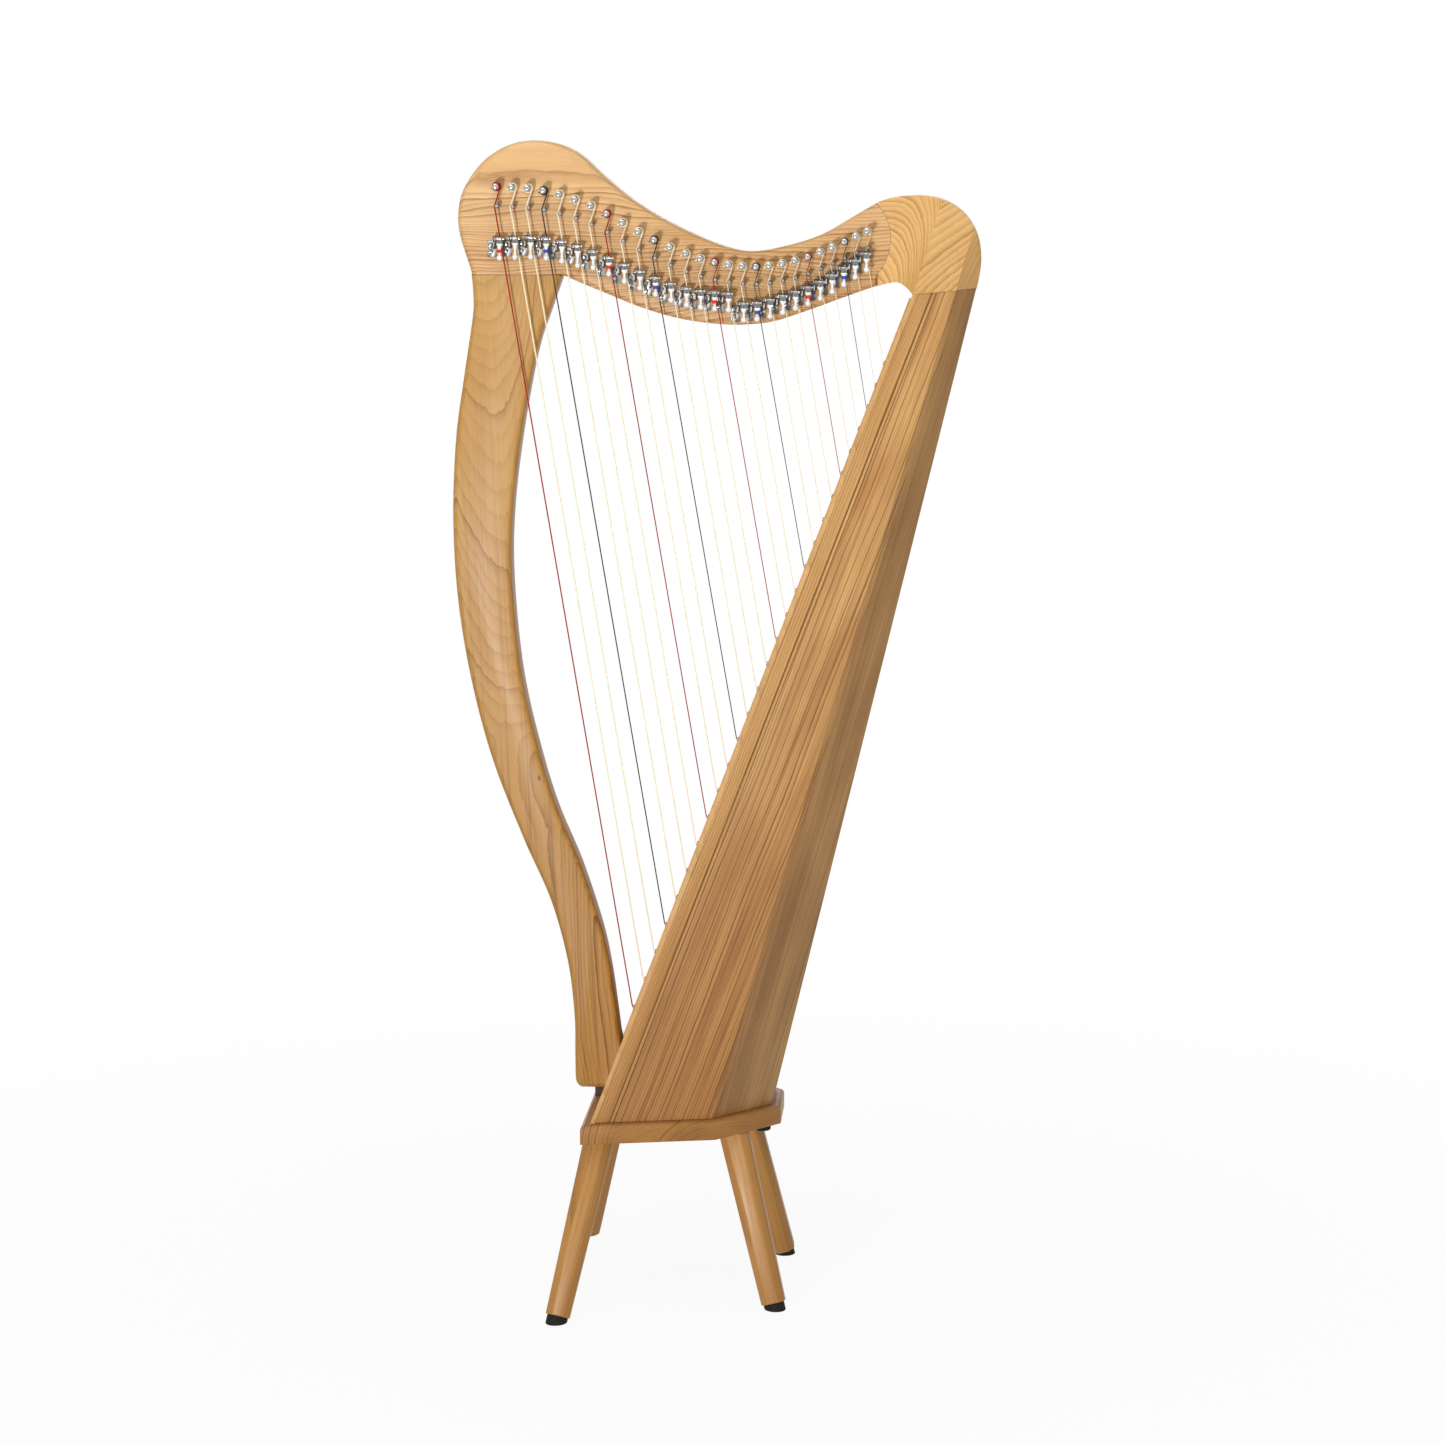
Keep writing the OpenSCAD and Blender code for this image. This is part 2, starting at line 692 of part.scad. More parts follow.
module pillar() {
    outline = concat(
        smooth(pillar_front, 6), smooth(pillar_back, 6),
        [[board_x + tan(lean) * 57, 57], [board_x + tan(lean) * pillar_gap, pillar_gap]]
    );
    color("burlywood") above_plate() difference() {
        intersection() {
            slab(outline);
            translate([-reach, -reach, pillar_gap]) cube([2 * reach, 2 * reach, joint_h - pillar_gap]);
        }
        front_layer(0, 100);
        pillar_bolt_hole(bolt_r + fit);
    }
}

module pillar_spacer() {
    color([0.25, 0.14, 0.08]) above_plate() difference() {
        translate([board_x - 6, -9, 0]) cube([12, 18, pillar_gap]);
        front_layer(0, 100);
    }
}

module pillar_bolt() {
    head_x = board_x + board_t + 24;
    color("silver") above_plate() translate([head_x, 0, bolt_h]) {
        bar_x(bolt_r, -bolt_len + 8, 0.01);
        bar_x(bolt_head_r, 0, bolt_head_h);
    }
}

// ---- pins ----

module tuning_pin() {
    dome = 1.2;
    translate([0, -half_t - tuning_out, 0]) rotate([-90, 0, 0]) rotate_extrude() polygon(concat(
        [[0, 0]],
        [for (a = [15:15:90]) [tuning_r * sin(a), dome * (1 - cos(a))]],
        [[tuning_r, tuning_out + neck_t + 2], [0, tuning_out + neck_t + 2]]
    ));
    translate([-tuning_square / 2, half_t + 1, -tuning_square / 2])
        cube([tuning_square, tuning_key - 1, tuning_square]);
}

module tuning_pins() {
    color("silver") above_plate() for (i = [0:strings - 1])
        translate([tuning_pos(i).x, 0, tuning_pos(i).y]) tuning_pin();
}

module bridge_pin(groove) {
    out = -half_t - bridge_out;
    translate([0, out, 0]) rotate([-90, 0, 0]) rotate_extrude() polygon([
        [0, 0], [bridge_r - 0.6, 0], [bridge_r, 0.6],
        [bridge_r, string_y - out - groove - 0.4], [bridge_groove_r, string_y - out - groove],
        [bridge_groove_r, string_y - out + groove], [bridge_r, string_y - out + groove + 0.4],
        [bridge_r, bridge_out + 12], [0, bridge_out + 12]
    ]);
}

module bridge_pins() {
    color("gainsboro") above_plate() for (i = [0:strings - 1])
        translate([bridge_pos(i).x, 0, bridge_pos(i).y]) bridge_pin(string_r(i) + 0.25);
}

module string_eyelets() {
    color([0.3, 0.22, 0.12]) above_plate() for (i = [0:strings - 1])
        on_board() translate([0, 0, hole_up(i)]) difference() {
            union() {
                bar_x(2.3, -strip_t - eyelet_t, -strip_t);
                bar_x(hole_r - fit, -strip_t - 0.01, board_t + bar_t - 0.5);
            }
            bar_x(1.05, -strip_t - 2, board_t + bar_t + 1);
        }
}

// ---- levers ----

module at_lever(i) {
    above_plate() translate(lever_pos(i)) children();
}

module lever_plate() {
    difference() {
        union() {
            translate([ear_x + ear_t - lever_plate_w - 1, axle_off - lever_plate_t, -lever_plate_drop])
                cube([lever_plate_w + 1, lever_plate_t, lever_plate_h]);
            translate([ear_x, 0, -lever_plate_drop + 8]) cube([ear_t, axle_off, lever_plate_drop - 8]);
            bar_x(collar_r, ear_x, ear_x + ear_t);
            translate([ear_x, 0, -collar_r]) cube([ear_t, axle_off, 2 * collar_r]);
        }
        bar_x(axle_r + fit, ear_x - 1, ear_x + ear_t + 1);
        for (z = screw_drops) translate([screw_x, 0, -z]) bar_y(screw_r + fit, 0, axle_off + 1);
        translate([ear_x - 1, -collar_r - 1, -lever_plate_drop]) rotate([38, 0, 0]) cube([ear_t + 2, 9, 20]);
    }
}

module lever_plates() {
    color("dimgray") for (i = [0:strings - 1]) at_lever(i) lever_plate();
}

module lever_screws() {
    color("silver") for (i = [0:strings - 1], z = screw_drops) at_lever(i)
        translate([screw_x, axle_off - lever_plate_t, -z]) difference() {
            union() {
                bar_y(screw_head_r, -screw_head_h, 0);
                bar_y(screw_r, -0.01, screw_len);
            }
            bar_y(0.9, -screw_head_h - 1, -screw_head_h + 0.8);
        }
}

module lever_axles() {
    color("silver") for (i = [0:strings - 1]) at_lever(i) {
        bar_x(axle_r, ear_x - 0.4, axle_end);
        bar_x(1.5, axle_end - 0.8, axle_end);
    }
}

// A lever: barrel with collar, cam and stem, and a turned handle with its knob
module lever(i) {
    r = string_r(i);
    cam_r = norm([0, axle_off + half_t + string_at(i, lever_h(i)).y]) - r - cam_gap;
    knob_z = lever_reach(i);
    waist_z = knob_z - knob_r - 3.6;
    color("white") at_lever(i) difference() {
        union() {
            bar_x(barrel_r, barrel_x0, barrel_x1);
            bar_x(collar_r, barrel_x0 - 0.6, barrel_x0 + 0.7);
            rotate([-lever_rest, 0, 0]) {
                translate([-2.8, -1.2, -5.2]) cube([5.6, 2.4, 5.2]);
                intersection() {
                    rotate_extrude() polygon([
                        [0, -4.6], [3.3, -4.6], [3.3, -5.4], [2.2, -6.9], [1.4, -waist_z + 1.2],
                        [1.2, -waist_z], [1.3, -waist_z - 1.5], [1.3, -knob_z], [0, -knob_z]
                    ]);
                    translate([-5, -2, -knob_z - 1]) cube([10, 4, knob_z]);
                }
                translate([0, 0, -knob_z]) sphere(r = knob_r);
                if (has_band(i)) translate([0, 0, -waist_z - 1.3]) cylinder(r = 2.7, h = 2.4);
            }
            rotate([lever_swing - 270, 0, 0])
                translate([-cam_w / 2, -0.9, -cam_r]) cube([cam_w, 1.8, cam_r]);
        }
        bar_x(axle_r + axle_play, barrel_x0 - 2, barrel_x1 + 2);
    }
}

// ---- strings ----

function tube_ring(p, t, r) =
    let (a = unit(cross(t, [0, 1, 0])), b = cross(t, a))
    [for (k = [0:5]) p + r * (cos(60 * k + 30) * a + sin(60 * k + 30) * b)];

coil_rings = 10;

// Centre points of a string: [point, radius], from the knot behind the board to the end of its coil
function string_route(i) =
    let (
        r = string_r(i),
        foot = string_foot(i),
        head = string_head(i),
        pin = tuning_pos(i),
        coil_r = (tuning_r + r + 0.05) / cos(180 / coil_rings),
        pitch = 2 * r + 0.5,
        to_head = [head.x, head.z] - pin,
        start = atan2(to_head.y, to_head.x) + acos(coil_r / norm(to_head)),
        knot = board_point(board_t + bar_t + 1, hole_up(i)),
        inwards = [cos(lean), 0, -sin(lean)]
    )
    concat(
        [[knot + 2.4 * inwards, 0.5], [knot + 1.2 * inwards, 2], [knot, 2]],
        [[knot - 0.3 * inwards, r], [foot, r], [head, r]],
        [for (k = [0:round(turns * coil_rings)])
            let (a = start + 360 * k / coil_rings)
            [[pin.x + coil_r * cos(a), string_y + pitch * k / coil_rings, pin.y + coil_r * sin(a)], r]]
    );

// Least gap between the turns of a string's coil, measured on the points of its route
function self_gap(i) =
    let (p = string_route(i), n = len(p) - 1, half_turn = coil_rings / 2)
    min([for (a = [n - turns * coil_rings:n - half_turn], b = [a + half_turn:n])
        norm(p[a][0] - p[b][0]) - p[a][1] - p[b][1]]);
echo(least_gap_between_turns = min([for (i = [0:strings - 1]) self_gap(i)]));

module string(i) {
    route = string_route(i);
    n = len(route) - 1;
    loft([for (k = [0:n])
        let (
            before = k > 0 ? unit(route[k][0] - route[k - 1][0]) : unit(route[1][0] - route[0][0]),
            after = k < n ? unit(route[k + 1][0] - route[k][0]) : before
        ) tube_ring(route[k][0], unit(before + after), route[k][1])]);
}

// Every C string is red and every F string is black; the longest string is a C
module strings_red() {
    color("firebrick") above_plate() for (i = [0:7:strings - 1]) string(i);
}

module strings_black() {
    color([0.08, 0.08, 0.08]) above_plate() for (i = [3:7:strings - 1]) string(i);
}

module strings_natural() {
    color("ivory") above_plate() for (i = [0:strings - 1]) if (!has_band(i)) string(i);
}

neck();
shoulder_block();
pillar();
pillar_spacer();
pillar_bolt();
soundboard();
string_strip();
string_bar();
side_rail(-1);  // side_rail_left
side_rail(1);  // side_rail_right
side_panel(-1);  // side_panel_left
side_panel(1);  // side_panel_right
rear_panel(-1);  // rear_panel_left
rear_panel(1);  // rear_panel_right
back_panel();
foot_block();
box_braces();
base_plate();
for (k = [0, 1], s = [0, 1]) leg(k, sides[s]);
leg_tips();
base_bumpers();
tuning_pins();
bridge_pins();
lever_plates();
lever_screws();
lever_axles();
string_eyelets();
strings_red();
strings_black();
strings_natural();
for (i = [0:strings - 1]) lever(i);
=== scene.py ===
# %% [markdown]
# # Dressing a lever harp
#
# The CAD parts already have the harp's exact shape, so this lesson gives them what CAD leaves out:
# rounded edges, ash wood with its growth rings, turned metal fittings and round strings. Each cell
# says what a piece is on a real harp, how it could be made, and why this way was chosen.
#
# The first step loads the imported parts. Every part sits at the origin with its place in its mesh,
# so one set of coordinates, in metres, holds for everything.

# %% Load the harp
import json
import math

import bmesh
import bpy
from mathutils import Matrix, Vector


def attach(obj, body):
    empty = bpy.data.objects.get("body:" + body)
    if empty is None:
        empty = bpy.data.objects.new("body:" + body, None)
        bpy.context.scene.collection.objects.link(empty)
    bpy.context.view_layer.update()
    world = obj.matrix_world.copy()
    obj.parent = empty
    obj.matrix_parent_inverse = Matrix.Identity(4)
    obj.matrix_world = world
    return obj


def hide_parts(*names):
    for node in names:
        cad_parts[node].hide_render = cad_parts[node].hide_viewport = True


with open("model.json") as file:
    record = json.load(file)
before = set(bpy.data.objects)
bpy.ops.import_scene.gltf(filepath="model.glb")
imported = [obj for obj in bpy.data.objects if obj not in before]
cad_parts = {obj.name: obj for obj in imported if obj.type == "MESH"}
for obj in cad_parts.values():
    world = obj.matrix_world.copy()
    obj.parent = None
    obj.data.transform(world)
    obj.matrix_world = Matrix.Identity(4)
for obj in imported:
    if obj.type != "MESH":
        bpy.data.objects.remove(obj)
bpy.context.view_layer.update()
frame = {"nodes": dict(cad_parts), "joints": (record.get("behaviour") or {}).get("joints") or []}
nodes = frame["nodes"]

# %% [markdown]
# ## Camera
#
# The picture was taken with a long lens from the left of the player's seat, a little above the
# harp's neck. The long lens keeps the long edges of the soundbox almost straight. A camera is
# placed by its position and the way it looks, so two angles are enough: how far it turns and how
# far it tips down.

# %% Place the camera
CAMERA_AT = Vector((0.2583, -3.7916, 1.161))
TURN = math.radians(3.8)
TIP = math.radians(8.75)

lens = bpy.data.cameras.new("camera")
lens.sensor_fit = "HORIZONTAL"
lens.sensor_width = 36
lens.lens = 95.82
camera = bpy.data.objects.new("camera", lens)
bpy.context.scene.collection.objects.link(camera)
look = Vector((-math.sin(TURN) * math.cos(TIP), math.cos(TURN) * math.cos(TIP), -math.sin(TIP)))
camera.location = CAMERA_AT
camera.rotation_euler = look.to_track_quat("-Z", "Y").to_euler()
bpy.context.scene.camera = camera
bpy.context.scene.view_settings.view_transform = "Standard"
print("camera looks along", [round(v, 3) for v in look])

# %% [markdown]
# ## Studio
#
# A catalogue picture has a white ground and soft lamps. The main lamp is small and stands low in
# front, a little to the left, which is why the pins throw their shadows up and to the right. A
# broad lamp above lights every upper edge, a weak one on the right keeps the shadows open, and one
# behind the harp lights the edges that the others don't reach. No lamp shows in the picture.

# %% Lamps
def add_lamp(name, place, target, size, power):
    data = bpy.data.lights.new(name, "AREA")
    data.shape = "SQUARE"
    data.size = size
    data.energy = power
    lamp = bpy.data.objects.new(name, data)
    bpy.context.scene.collection.objects.link(lamp)
    lamp.location = place
    lamp.rotation_euler = (Vector(target) - Vector(place)).to_track_quat("-Z", "Y").to_euler()
    lamp.visible_camera = False


HARP_MIDDLE = (0, 0, 0.62)
add_lamp("key_lamp", (-0.66, -3.1, 0.27), (0, 0, 0.85), 0.22, 50)
add_lamp("top_lamp", (-0.2, -1.2, 2.7), (0, 0, 0.9), 1.5, 22)
add_lamp("fill_lamp", (1.9, -2.4, 1.5), HARP_MIDDLE, 1.8, 5)
add_lamp("back_lamp", (-0.6, 2.8, 1.8), HARP_MIDDLE, 2.2, 20)

# %% [markdown]
# ## Writing shader maths as Python
#
# Wood needs a good deal of arithmetic, and each step is one node. A small class that wraps a socket
# lets the arithmetic be written as ordinary expressions, and each expression adds its Math nodes.

# %% A socket that can be added and multiplied
class Wire:
    """An output socket on which sums and products may be written."""

    def __init__(self, finish, socket):
        self.finish, self.socket = finish, socket

    def maths(self, operation, *values):
        return self.finish.node("ShaderNodeMath", {"operation": operation}, dict(enumerate(values)))

    def __add__(self, other):
        return self.maths("ADD", self, other)

    def __radd__(self, other):
        return self.maths("ADD", other, self)

    def __sub__(self, other):
        return self.maths("SUBTRACT", self, other)

    def __rsub__(self, other):
        return self.maths("SUBTRACT", other, self)

    def __mul__(self, other):
        return self.maths("MULTIPLY", self, other)

    def __rmul__(self, other):
        return self.maths("MULTIPLY", other, self)

    def __truediv__(self, other):
        return self.maths("DIVIDE", self, other)

    def __pow__(self, other):
        return self.maths("POWER", self, other)

    def floor(self):
        return self.maths("FLOOR", self)

    def fraction(self):
        return self.maths("FRACT", self)

    def size(self):
        return self.maths("ABSOLUTE", self)

    def at_least(self, lowest):
        return self.maths("MAXIMUM", self, lowest)


class Finish:
    """A material that is built from nodes, one call for each."""

    def __init__(self, name):
        self.material = bpy.data.materials.new(name)
        self.material.use_nodes = True
        self.tree = self.material.node_tree
        self.tree.nodes.clear()
        self.surface = self.tree.nodes.new("ShaderNodeBsdfPrincipled")
        self.out = self.tree.nodes.new("ShaderNodeOutputMaterial")
        self.tree.links.new(self.surface.outputs[0], self.out.inputs["Surface"])

    def put(self, socket, value):
        if isinstance(value, Wire):
            self.tree.links.new(value.socket, socket)
        else:
            socket.default_value = value

    def set_stops(self, elements, stops):
        while len(elements) < len(stops):
            elements.new(0.5)
        for element, (place, shade) in zip(elements, stops):
            element.position = place
            element.color = (shade, shade, shade, 1)

    def node(self, kind, settings=None, inputs=None, output=0):
        """Adds a node: first its settings, then the values or links of its sockets."""
        made = self.tree.nodes.new(kind)
        for key, value in (settings or {}).items():
            if key == "stops":
                self.set_stops(made.color_ramp.elements, value)
            else:
                setattr(made, key, value)
        for key, value in (inputs or {}).items():
            self.put(made.inputs[key], value)
        return Wire(self, made.outputs[output])

    def length(self, vector):
        return self.node("ShaderNodeVectorMath", {"operation": "LENGTH"}, {0: vector}, "Value")

    def ramp(self, value, *stops):
        """Turns a value into a shade of grey, from stops of (place, shade)."""
        return self.node("ShaderNodeValToRGB", {"stops": stops}, {0: value})

    def noise(self, place, detail=2.0, rough=0.5):
        return self.node("ShaderNodeTexNoise", {}, {"Vector": place, "Scale": 1.0, "Detail": detail,
                                                    "Roughness": rough})

    def lottery(self, number):
        """A value between 0 and 1 that is drawn anew for each whole number."""
        return self.node("ShaderNodeTexWhiteNoise", {"noise_dimensions": "1D"}, {"W": number},
                         "Value")

    def stretch(self, place, *factors):
        return self.node("ShaderNodeVectorMath", {"operation": "MULTIPLY"}, {0: place, 1: factors})

    def mix(self, share, first, second):
        return self.node("ShaderNodeMix", {"data_type": "RGBA"}, {0: share, 6: first, 7: second}, 2)

    def set(self, **values):
        for key, value in values.items():
            self.put(self.surface.inputs[key.replace("_", " ")], value)

    def bump(self, height, distance, strength):
        return self.node("ShaderNodeBump", {}, {"Strength": strength, "Distance": distance,
                                                "Height": height})


def tone(red, green, blue):
    """A colour as it is read off a screen, turned into the linear numbers that shaders use."""
    def linear(v):
        return v / 12.92 if v <= 0.04045 else ((v + 0.055) / 1.055) ** 2.4
    return (linear(red), linear(green), linear(blue), 1)


def darker(colour, share):
    return tuple(v * share for v in colour[:3]) + (1,)


# %% [markdown]
# ## White ground and floor
#
# The world is bright white only for the camera and in reflections; to the wood it gives no more
# than a faint even light. The floor is a plain pale sheet. The camera sees it nearly white, with
# the harp's soft shadow left on it, and further off it turns wholly white, so no line shows where
# it ends.

# %% White world and pale floor
FAINT, FULL = 0.22, 1.0
FLOOR_HALF_SIZE = 14
FADE_LENGTH = 2.2

world = bpy.data.worlds.new("studio")
world.use_nodes = True
bpy.context.scene.world = world
sky = world.node_tree
sky.nodes.clear()
path = sky.nodes.new("ShaderNodeLightPath")


def white_sky(strength):
    light = sky.nodes.new("ShaderNodeBackground")
    light.inputs["Color"].default_value = (1, 1, 1, 1)
    light.inputs["Strength"].default_value = strength
    return light.outputs[0]


def larger_of(first, second):
    larger = sky.nodes.new("ShaderNodeMath")
    larger.operation = "MAXIMUM"
    sky.links.new(first, larger.inputs[0])
    sky.links.new(second, larger.inputs[1])
    return larger.outputs[0]


mirrored_ray = larger_of(path.outputs["Is Transmission Ray"], path.outputs["Is Glossy Ray"])
bright_ray = larger_of(path.outputs["Is Camera Ray"], mirrored_ray)
choose = sky.nodes.new("ShaderNodeMixShader")
for socket, source in zip(choose.inputs, (bright_ray, white_sky(FAINT), white_sky(FULL))):
    sky.links.new(source, socket)
ground = sky.nodes.new("ShaderNodeOutputWorld")
sky.links.new(choose.outputs[0], ground.inputs["Surface"])

floor_finish = Finish("pale_floor")
floor_finish.set(Base_Color=(0.92, 0.92, 0.92, 1), Roughness=0.8)
seen, glossy, through = (floor_finish.node("ShaderNodeLightPath", output=ray) for ray in
                         ("Is Camera Ray", "Is Glossy Ray", "Is Transmission Ray"))
spot = floor_finish.node("ShaderNodeTexCoord", output="Object")
paper = floor_finish.ramp(floor_finish.length(spot) / FADE_LENGTH,
                          (0.0, 0.92), (0.3, 0.95), (0.7, 1.0))
shine = floor_finish.node("ShaderNodeEmission", {}, {"Color": (1, 1, 1, 1), "Strength": 1.0})
blended = floor_finish.node("ShaderNodeMixShader", {},
                            {0: (seen * paper).at_least(glossy).at_least(through), 2: shine})
floor_finish.tree.links.new(floor_finish.surface.outputs[0], blended.socket.node.inputs[1])
floor_finish.tree.links.new(blended.socket, floor_finish.out.inputs["Surface"])

sheet = bmesh.new()
bmesh.ops.create_grid(sheet, x_segments=1, y_segments=1, size=FLOOR_HALF_SIZE)
floor_mesh = bpy.data.meshes.new("floor")
sheet.to_mesh(floor_mesh)
sheet.free()
floor_mesh.materials.append(floor_finish.material)
floor = bpy.data.objects.new("floor", floor_mesh)
bpy.context.scene.collection.objects.link(floor)

# %% [markdown]
# ## Joint lines
#
# Two boards that are glued together leave a fine dark line, where lacquer and dust collect. The
# line is too thin to model, so the wood is darkened near it: near a plane, or near the round joint
# where the neck ends. The groove along each rail is darkened the same way, and there the dark
# line is painted shade inside the groove.

# %% How far a point is from a joint
def joint_gap(wood, place, joint):
    """Distance from a joint in millimetres.

    A joint is a point and a plane's normal, or a middle and a radius.
    """
    point, size = joint
    off = wood.node("ShaderNodeVectorMath", {"operation": "SUBTRACT"}, {0: place, 1: tuple(point)})
    if isinstance(size, float):
        return ((wood.length(wood.stretch(off, 1, 0, 1)) - size) * 1000).size()
    dot = wood.node("ShaderNodeVectorMath", {"operation": "DOT_PRODUCT"}, {0: off, 1: tuple(size)},
                    "Value")
    return (dot * 1000).size()


# %% [markdown]
# ## Ash wood
#
# Ash grows a ring a year. Each ring starts with a band of open pores, which a clear lacquer turns
# brown, and ends in smooth pale wood. A board cuts through those rings: near the middle of the log
# it shows pointed arches, and away from it straight lines. An image of wood would slide over the
# parts' edges, so the rings are worked out in space instead: the distance from the heart of an
# imagined log gives the ring, and every face of a part then shows the cut that a real saw would
# leave. All lengths below are in millimetres, except `at`.
#
# - `tones`: the pale wood, its darker clouds, and the pores.
# - `grain`, `face`, `at`: the way the fibres run, the side that is looked at, and the point, in
#   metres, from which the log is measured.
# - `heart`: where the log's middle lies, across the face and, below zero, behind it.
# - `ring`, `wave`: the width of a year, and how far the rings bend.
# - `taper`, `taper_end`: brings the heart nearer along the grain, down to an end, which draws the
#   arches out.
# - `strength`, `rare`, `soft`: how dark the pores are, how seldom a very dark year comes, and how
#   slowly a band fades out.
# - `broad`, `streaks`: how strong the wide clouds are, and the long narrow ones at the start and
#   at the end of the slow darkening.
# - `tone_and_painted_shade`: a slow darkening along one axis: its number, start, end, and how much
#   darker it gets.
#   On the neck it is the wood's own browner bands; low on the box and the pillar it is painted
#   shade, as less light reaches down there.
# - `staves`: the width of the strips from which a board is glued.
# - `knot`: where a branch grew, across and along.
# - `joints`: each joint line and half its width; along the rails' groove the line is painted
#   shade.

# %% A log of ash
STAVE_START = 0.13


def ash(name, tones, grain, face, at, heart, ring, wave, taper=0.0, taper_end=-2000.0, strength=1.0,
        broad=0.5, rare=1.5, soft=0.0, streaks=(0.4, 0.6), staves=0.0, tone_and_painted_shade=None, knot=None,
        joints=()):
    wood = Finish(name)
    light, ring_tone, pore_tone = (tone(*screen) for screen in tones)
    along = Vector(grain).normalized()
    across = along.cross(Vector(face)).normalized()
    turn = Matrix((across, along.cross(across), along))
    shift = -(turn @ Vector(at)) * 1000
    place = wood.node("ShaderNodeTexCoord", output="Object")
    log = wood.node("ShaderNodeMapping", {"vector_type": "POINT"},
                    {"Vector": place, "Location": shift, "Rotation": turn.to_euler("XYZ"),
                     "Scale": (1000, 1000, 1000)})
    split = wood.node("ShaderNodeSeparateXYZ", {}, {0: log}).socket.node
    x, y, z = (Wire(wood, socket) for socket in split.outputs)
    # The log's second axis points into the face, and depth is counted out of it
    y = 0 - y

    # Slow and quick bends of the rings, as a tree never grows quite round
    slow = wood.noise(wood.stretch(log, 0.013, 0.013, 0.0042), detail=1.5)
    quick = wood.noise(wood.stretch(log, 0.07, 0.07, 0.014), detail=2.5)
    jag = wood.noise(wood.stretch(log, 0.22, 0.22, 0.07), detail=1.5)

    # Each stave comes from another log, so its heart is moved by chance
    if staves:
        stave = (x / staves + STAVE_START).floor()
        pick, pick_2 = wood.lottery(stave), wood.lottery(stave + 40.5)
        x = x - (stave + 0.5 - STAVE_START) * staves + (pick - 0.5) * 90
        y = y + (pick_2 - 0.5) * 110
    side = x - heart[0] + (slow - 0.5) * (wave * 4)
    back = y - heart[1] - z.at_least(taper_end) * taper + (slow - 0.5) * (wave * 2)
    radius = (side * side + back * back) ** 0.5
    distance = radius + (quick - 0.5) * (wave * 0.4) + (jag - 0.5) * 0.9
    if knot:
        knot_x, knot_z = x - knot[0], (z - knot[1]) * 0.55
        off_knot = (knot_x * knot_x + knot_z * knot_z) ** 0.5
        core = wood.ramp(off_knot / 10, (0.0, 1.0), (0.13, 0.75), (0.2, 0.0))
        distance = distance + wood.ramp(off_knot / 30, (0.0, 1.0), (1.0, 0.0)) * 4

    # Good and bad years: some rings are wide, some narrow, some dark
    spread = wood.node("ShaderNodeTexNoise", {"noise_dimensions": "1D"},
                       {"W": distance * 0.055, "Scale": 1.0, "Detail": 1.0})
    years = distance / ring + spread * 3.2
    luck = wood.lottery(years.floor())
    early = wood.ramp(years.fraction(), (0.0, 0.05), (0.05 + soft * 0.2, 1.0),
                      (0.16 + soft * 0.3, 0.6), (0.45 + soft * 0.4, 0.2), (1.0, 0.0))

    # What runs along the fibres: open pores, fine fibres, wide clouds and long streaks
    open_pores = wood.ramp(wood.noise(wood.stretch(log, 1.7, 1.7, 0.085), detail=1.5),
                           (0.5, 0.0), (0.66, 1.0))
    fibre = wood.noise(wood.stretch(log, 0.9, 0.9, 0.014), detail=3, rough=0.62)
    cloud = wood.noise(wood.stretch(log, 0.03, 0.03, 0.0065), detail=2)
    streak = wood.noise(wood.stretch(log, 0.24, 0.24, 0.0028), detail=2.5)

    # Where the saw cuts straight across the rings their lines are close and strong
    cut = side.size() / radius
    share = 0.0
    # Slow darkening: on the neck the wood's browner bands; low on box and pillar, painted shade
    if tone_and_painted_shade:
        axis, start, end, amount = tone_and_painted_shade
        share = wood.node("ShaderNodeMapRange", {},
                          {"Value": (x, y, z)[axis], "From Min": start, "From Max": end})
    band = early * (luck ** rare * 0.85 + 0.15 + share * 0.3) * (cut * 0.7 + 0.45) * strength
    dashes = open_pores * early

    # Each layer of colour goes over the one before
    body = wood.mix((cloud - 0.5) * (3.2 * broad) + 0.3, light, ring_tone)
    if tone_and_painted_shade:
        body = wood.mix(share * amount, body, ring_tone)
    streaking = share * (streaks[1] - streaks[0]) + streaks[0]
    body = wood.mix((streak - 0.5) * streaking, body, pore_tone)
    body = wood.mix(band, body, pore_tone)
    body = wood.mix(dashes * 0.25, body, pore_tone)
    body = wood.mix((fibre - 0.5) * 1.5 + 0.12, body, ring_tone)
    if staves:
        body = wood.mix(pick_2 * 0.4, body, ring_tone)
    dark = darker(pore_tone, 0.42)
    if knot:
        body = wood.mix(core * 0.8, body, dark)
    # Dark joint lines; along the rails' groove the dark line is painted shade
    for joint, half_width in joints:
        near = wood.ramp(joint_gap(wood, place, joint) / (half_width * 4),
                         (0.0, 1.0), (0.2, 0.85), (0.32, 0.0))
        body = wood.mix(near * 0.62, body, dark)

    # Clear lacquer: duller and a little lower over the pores
    wood.set(Base_Color=body, Roughness=0.42 + band * 0.12 + dashes * 0.12, Coat_Weight=0.1,
             Coat_Roughness=0.26, Specular_IOR_Level=0.26,
             Normal=wood.bump(1 - dashes * 0.7 - band * 0.3, 0.00012, 0.5))
    return wood.material


# %% [markdown]
# ## The boards of the harp
#
# The soundbox is a four-sided spire laid back towards the player, so each of its boards runs
# towards one far point. The corners of its foot and that point give the way the fibres run and the
# way each board faces.

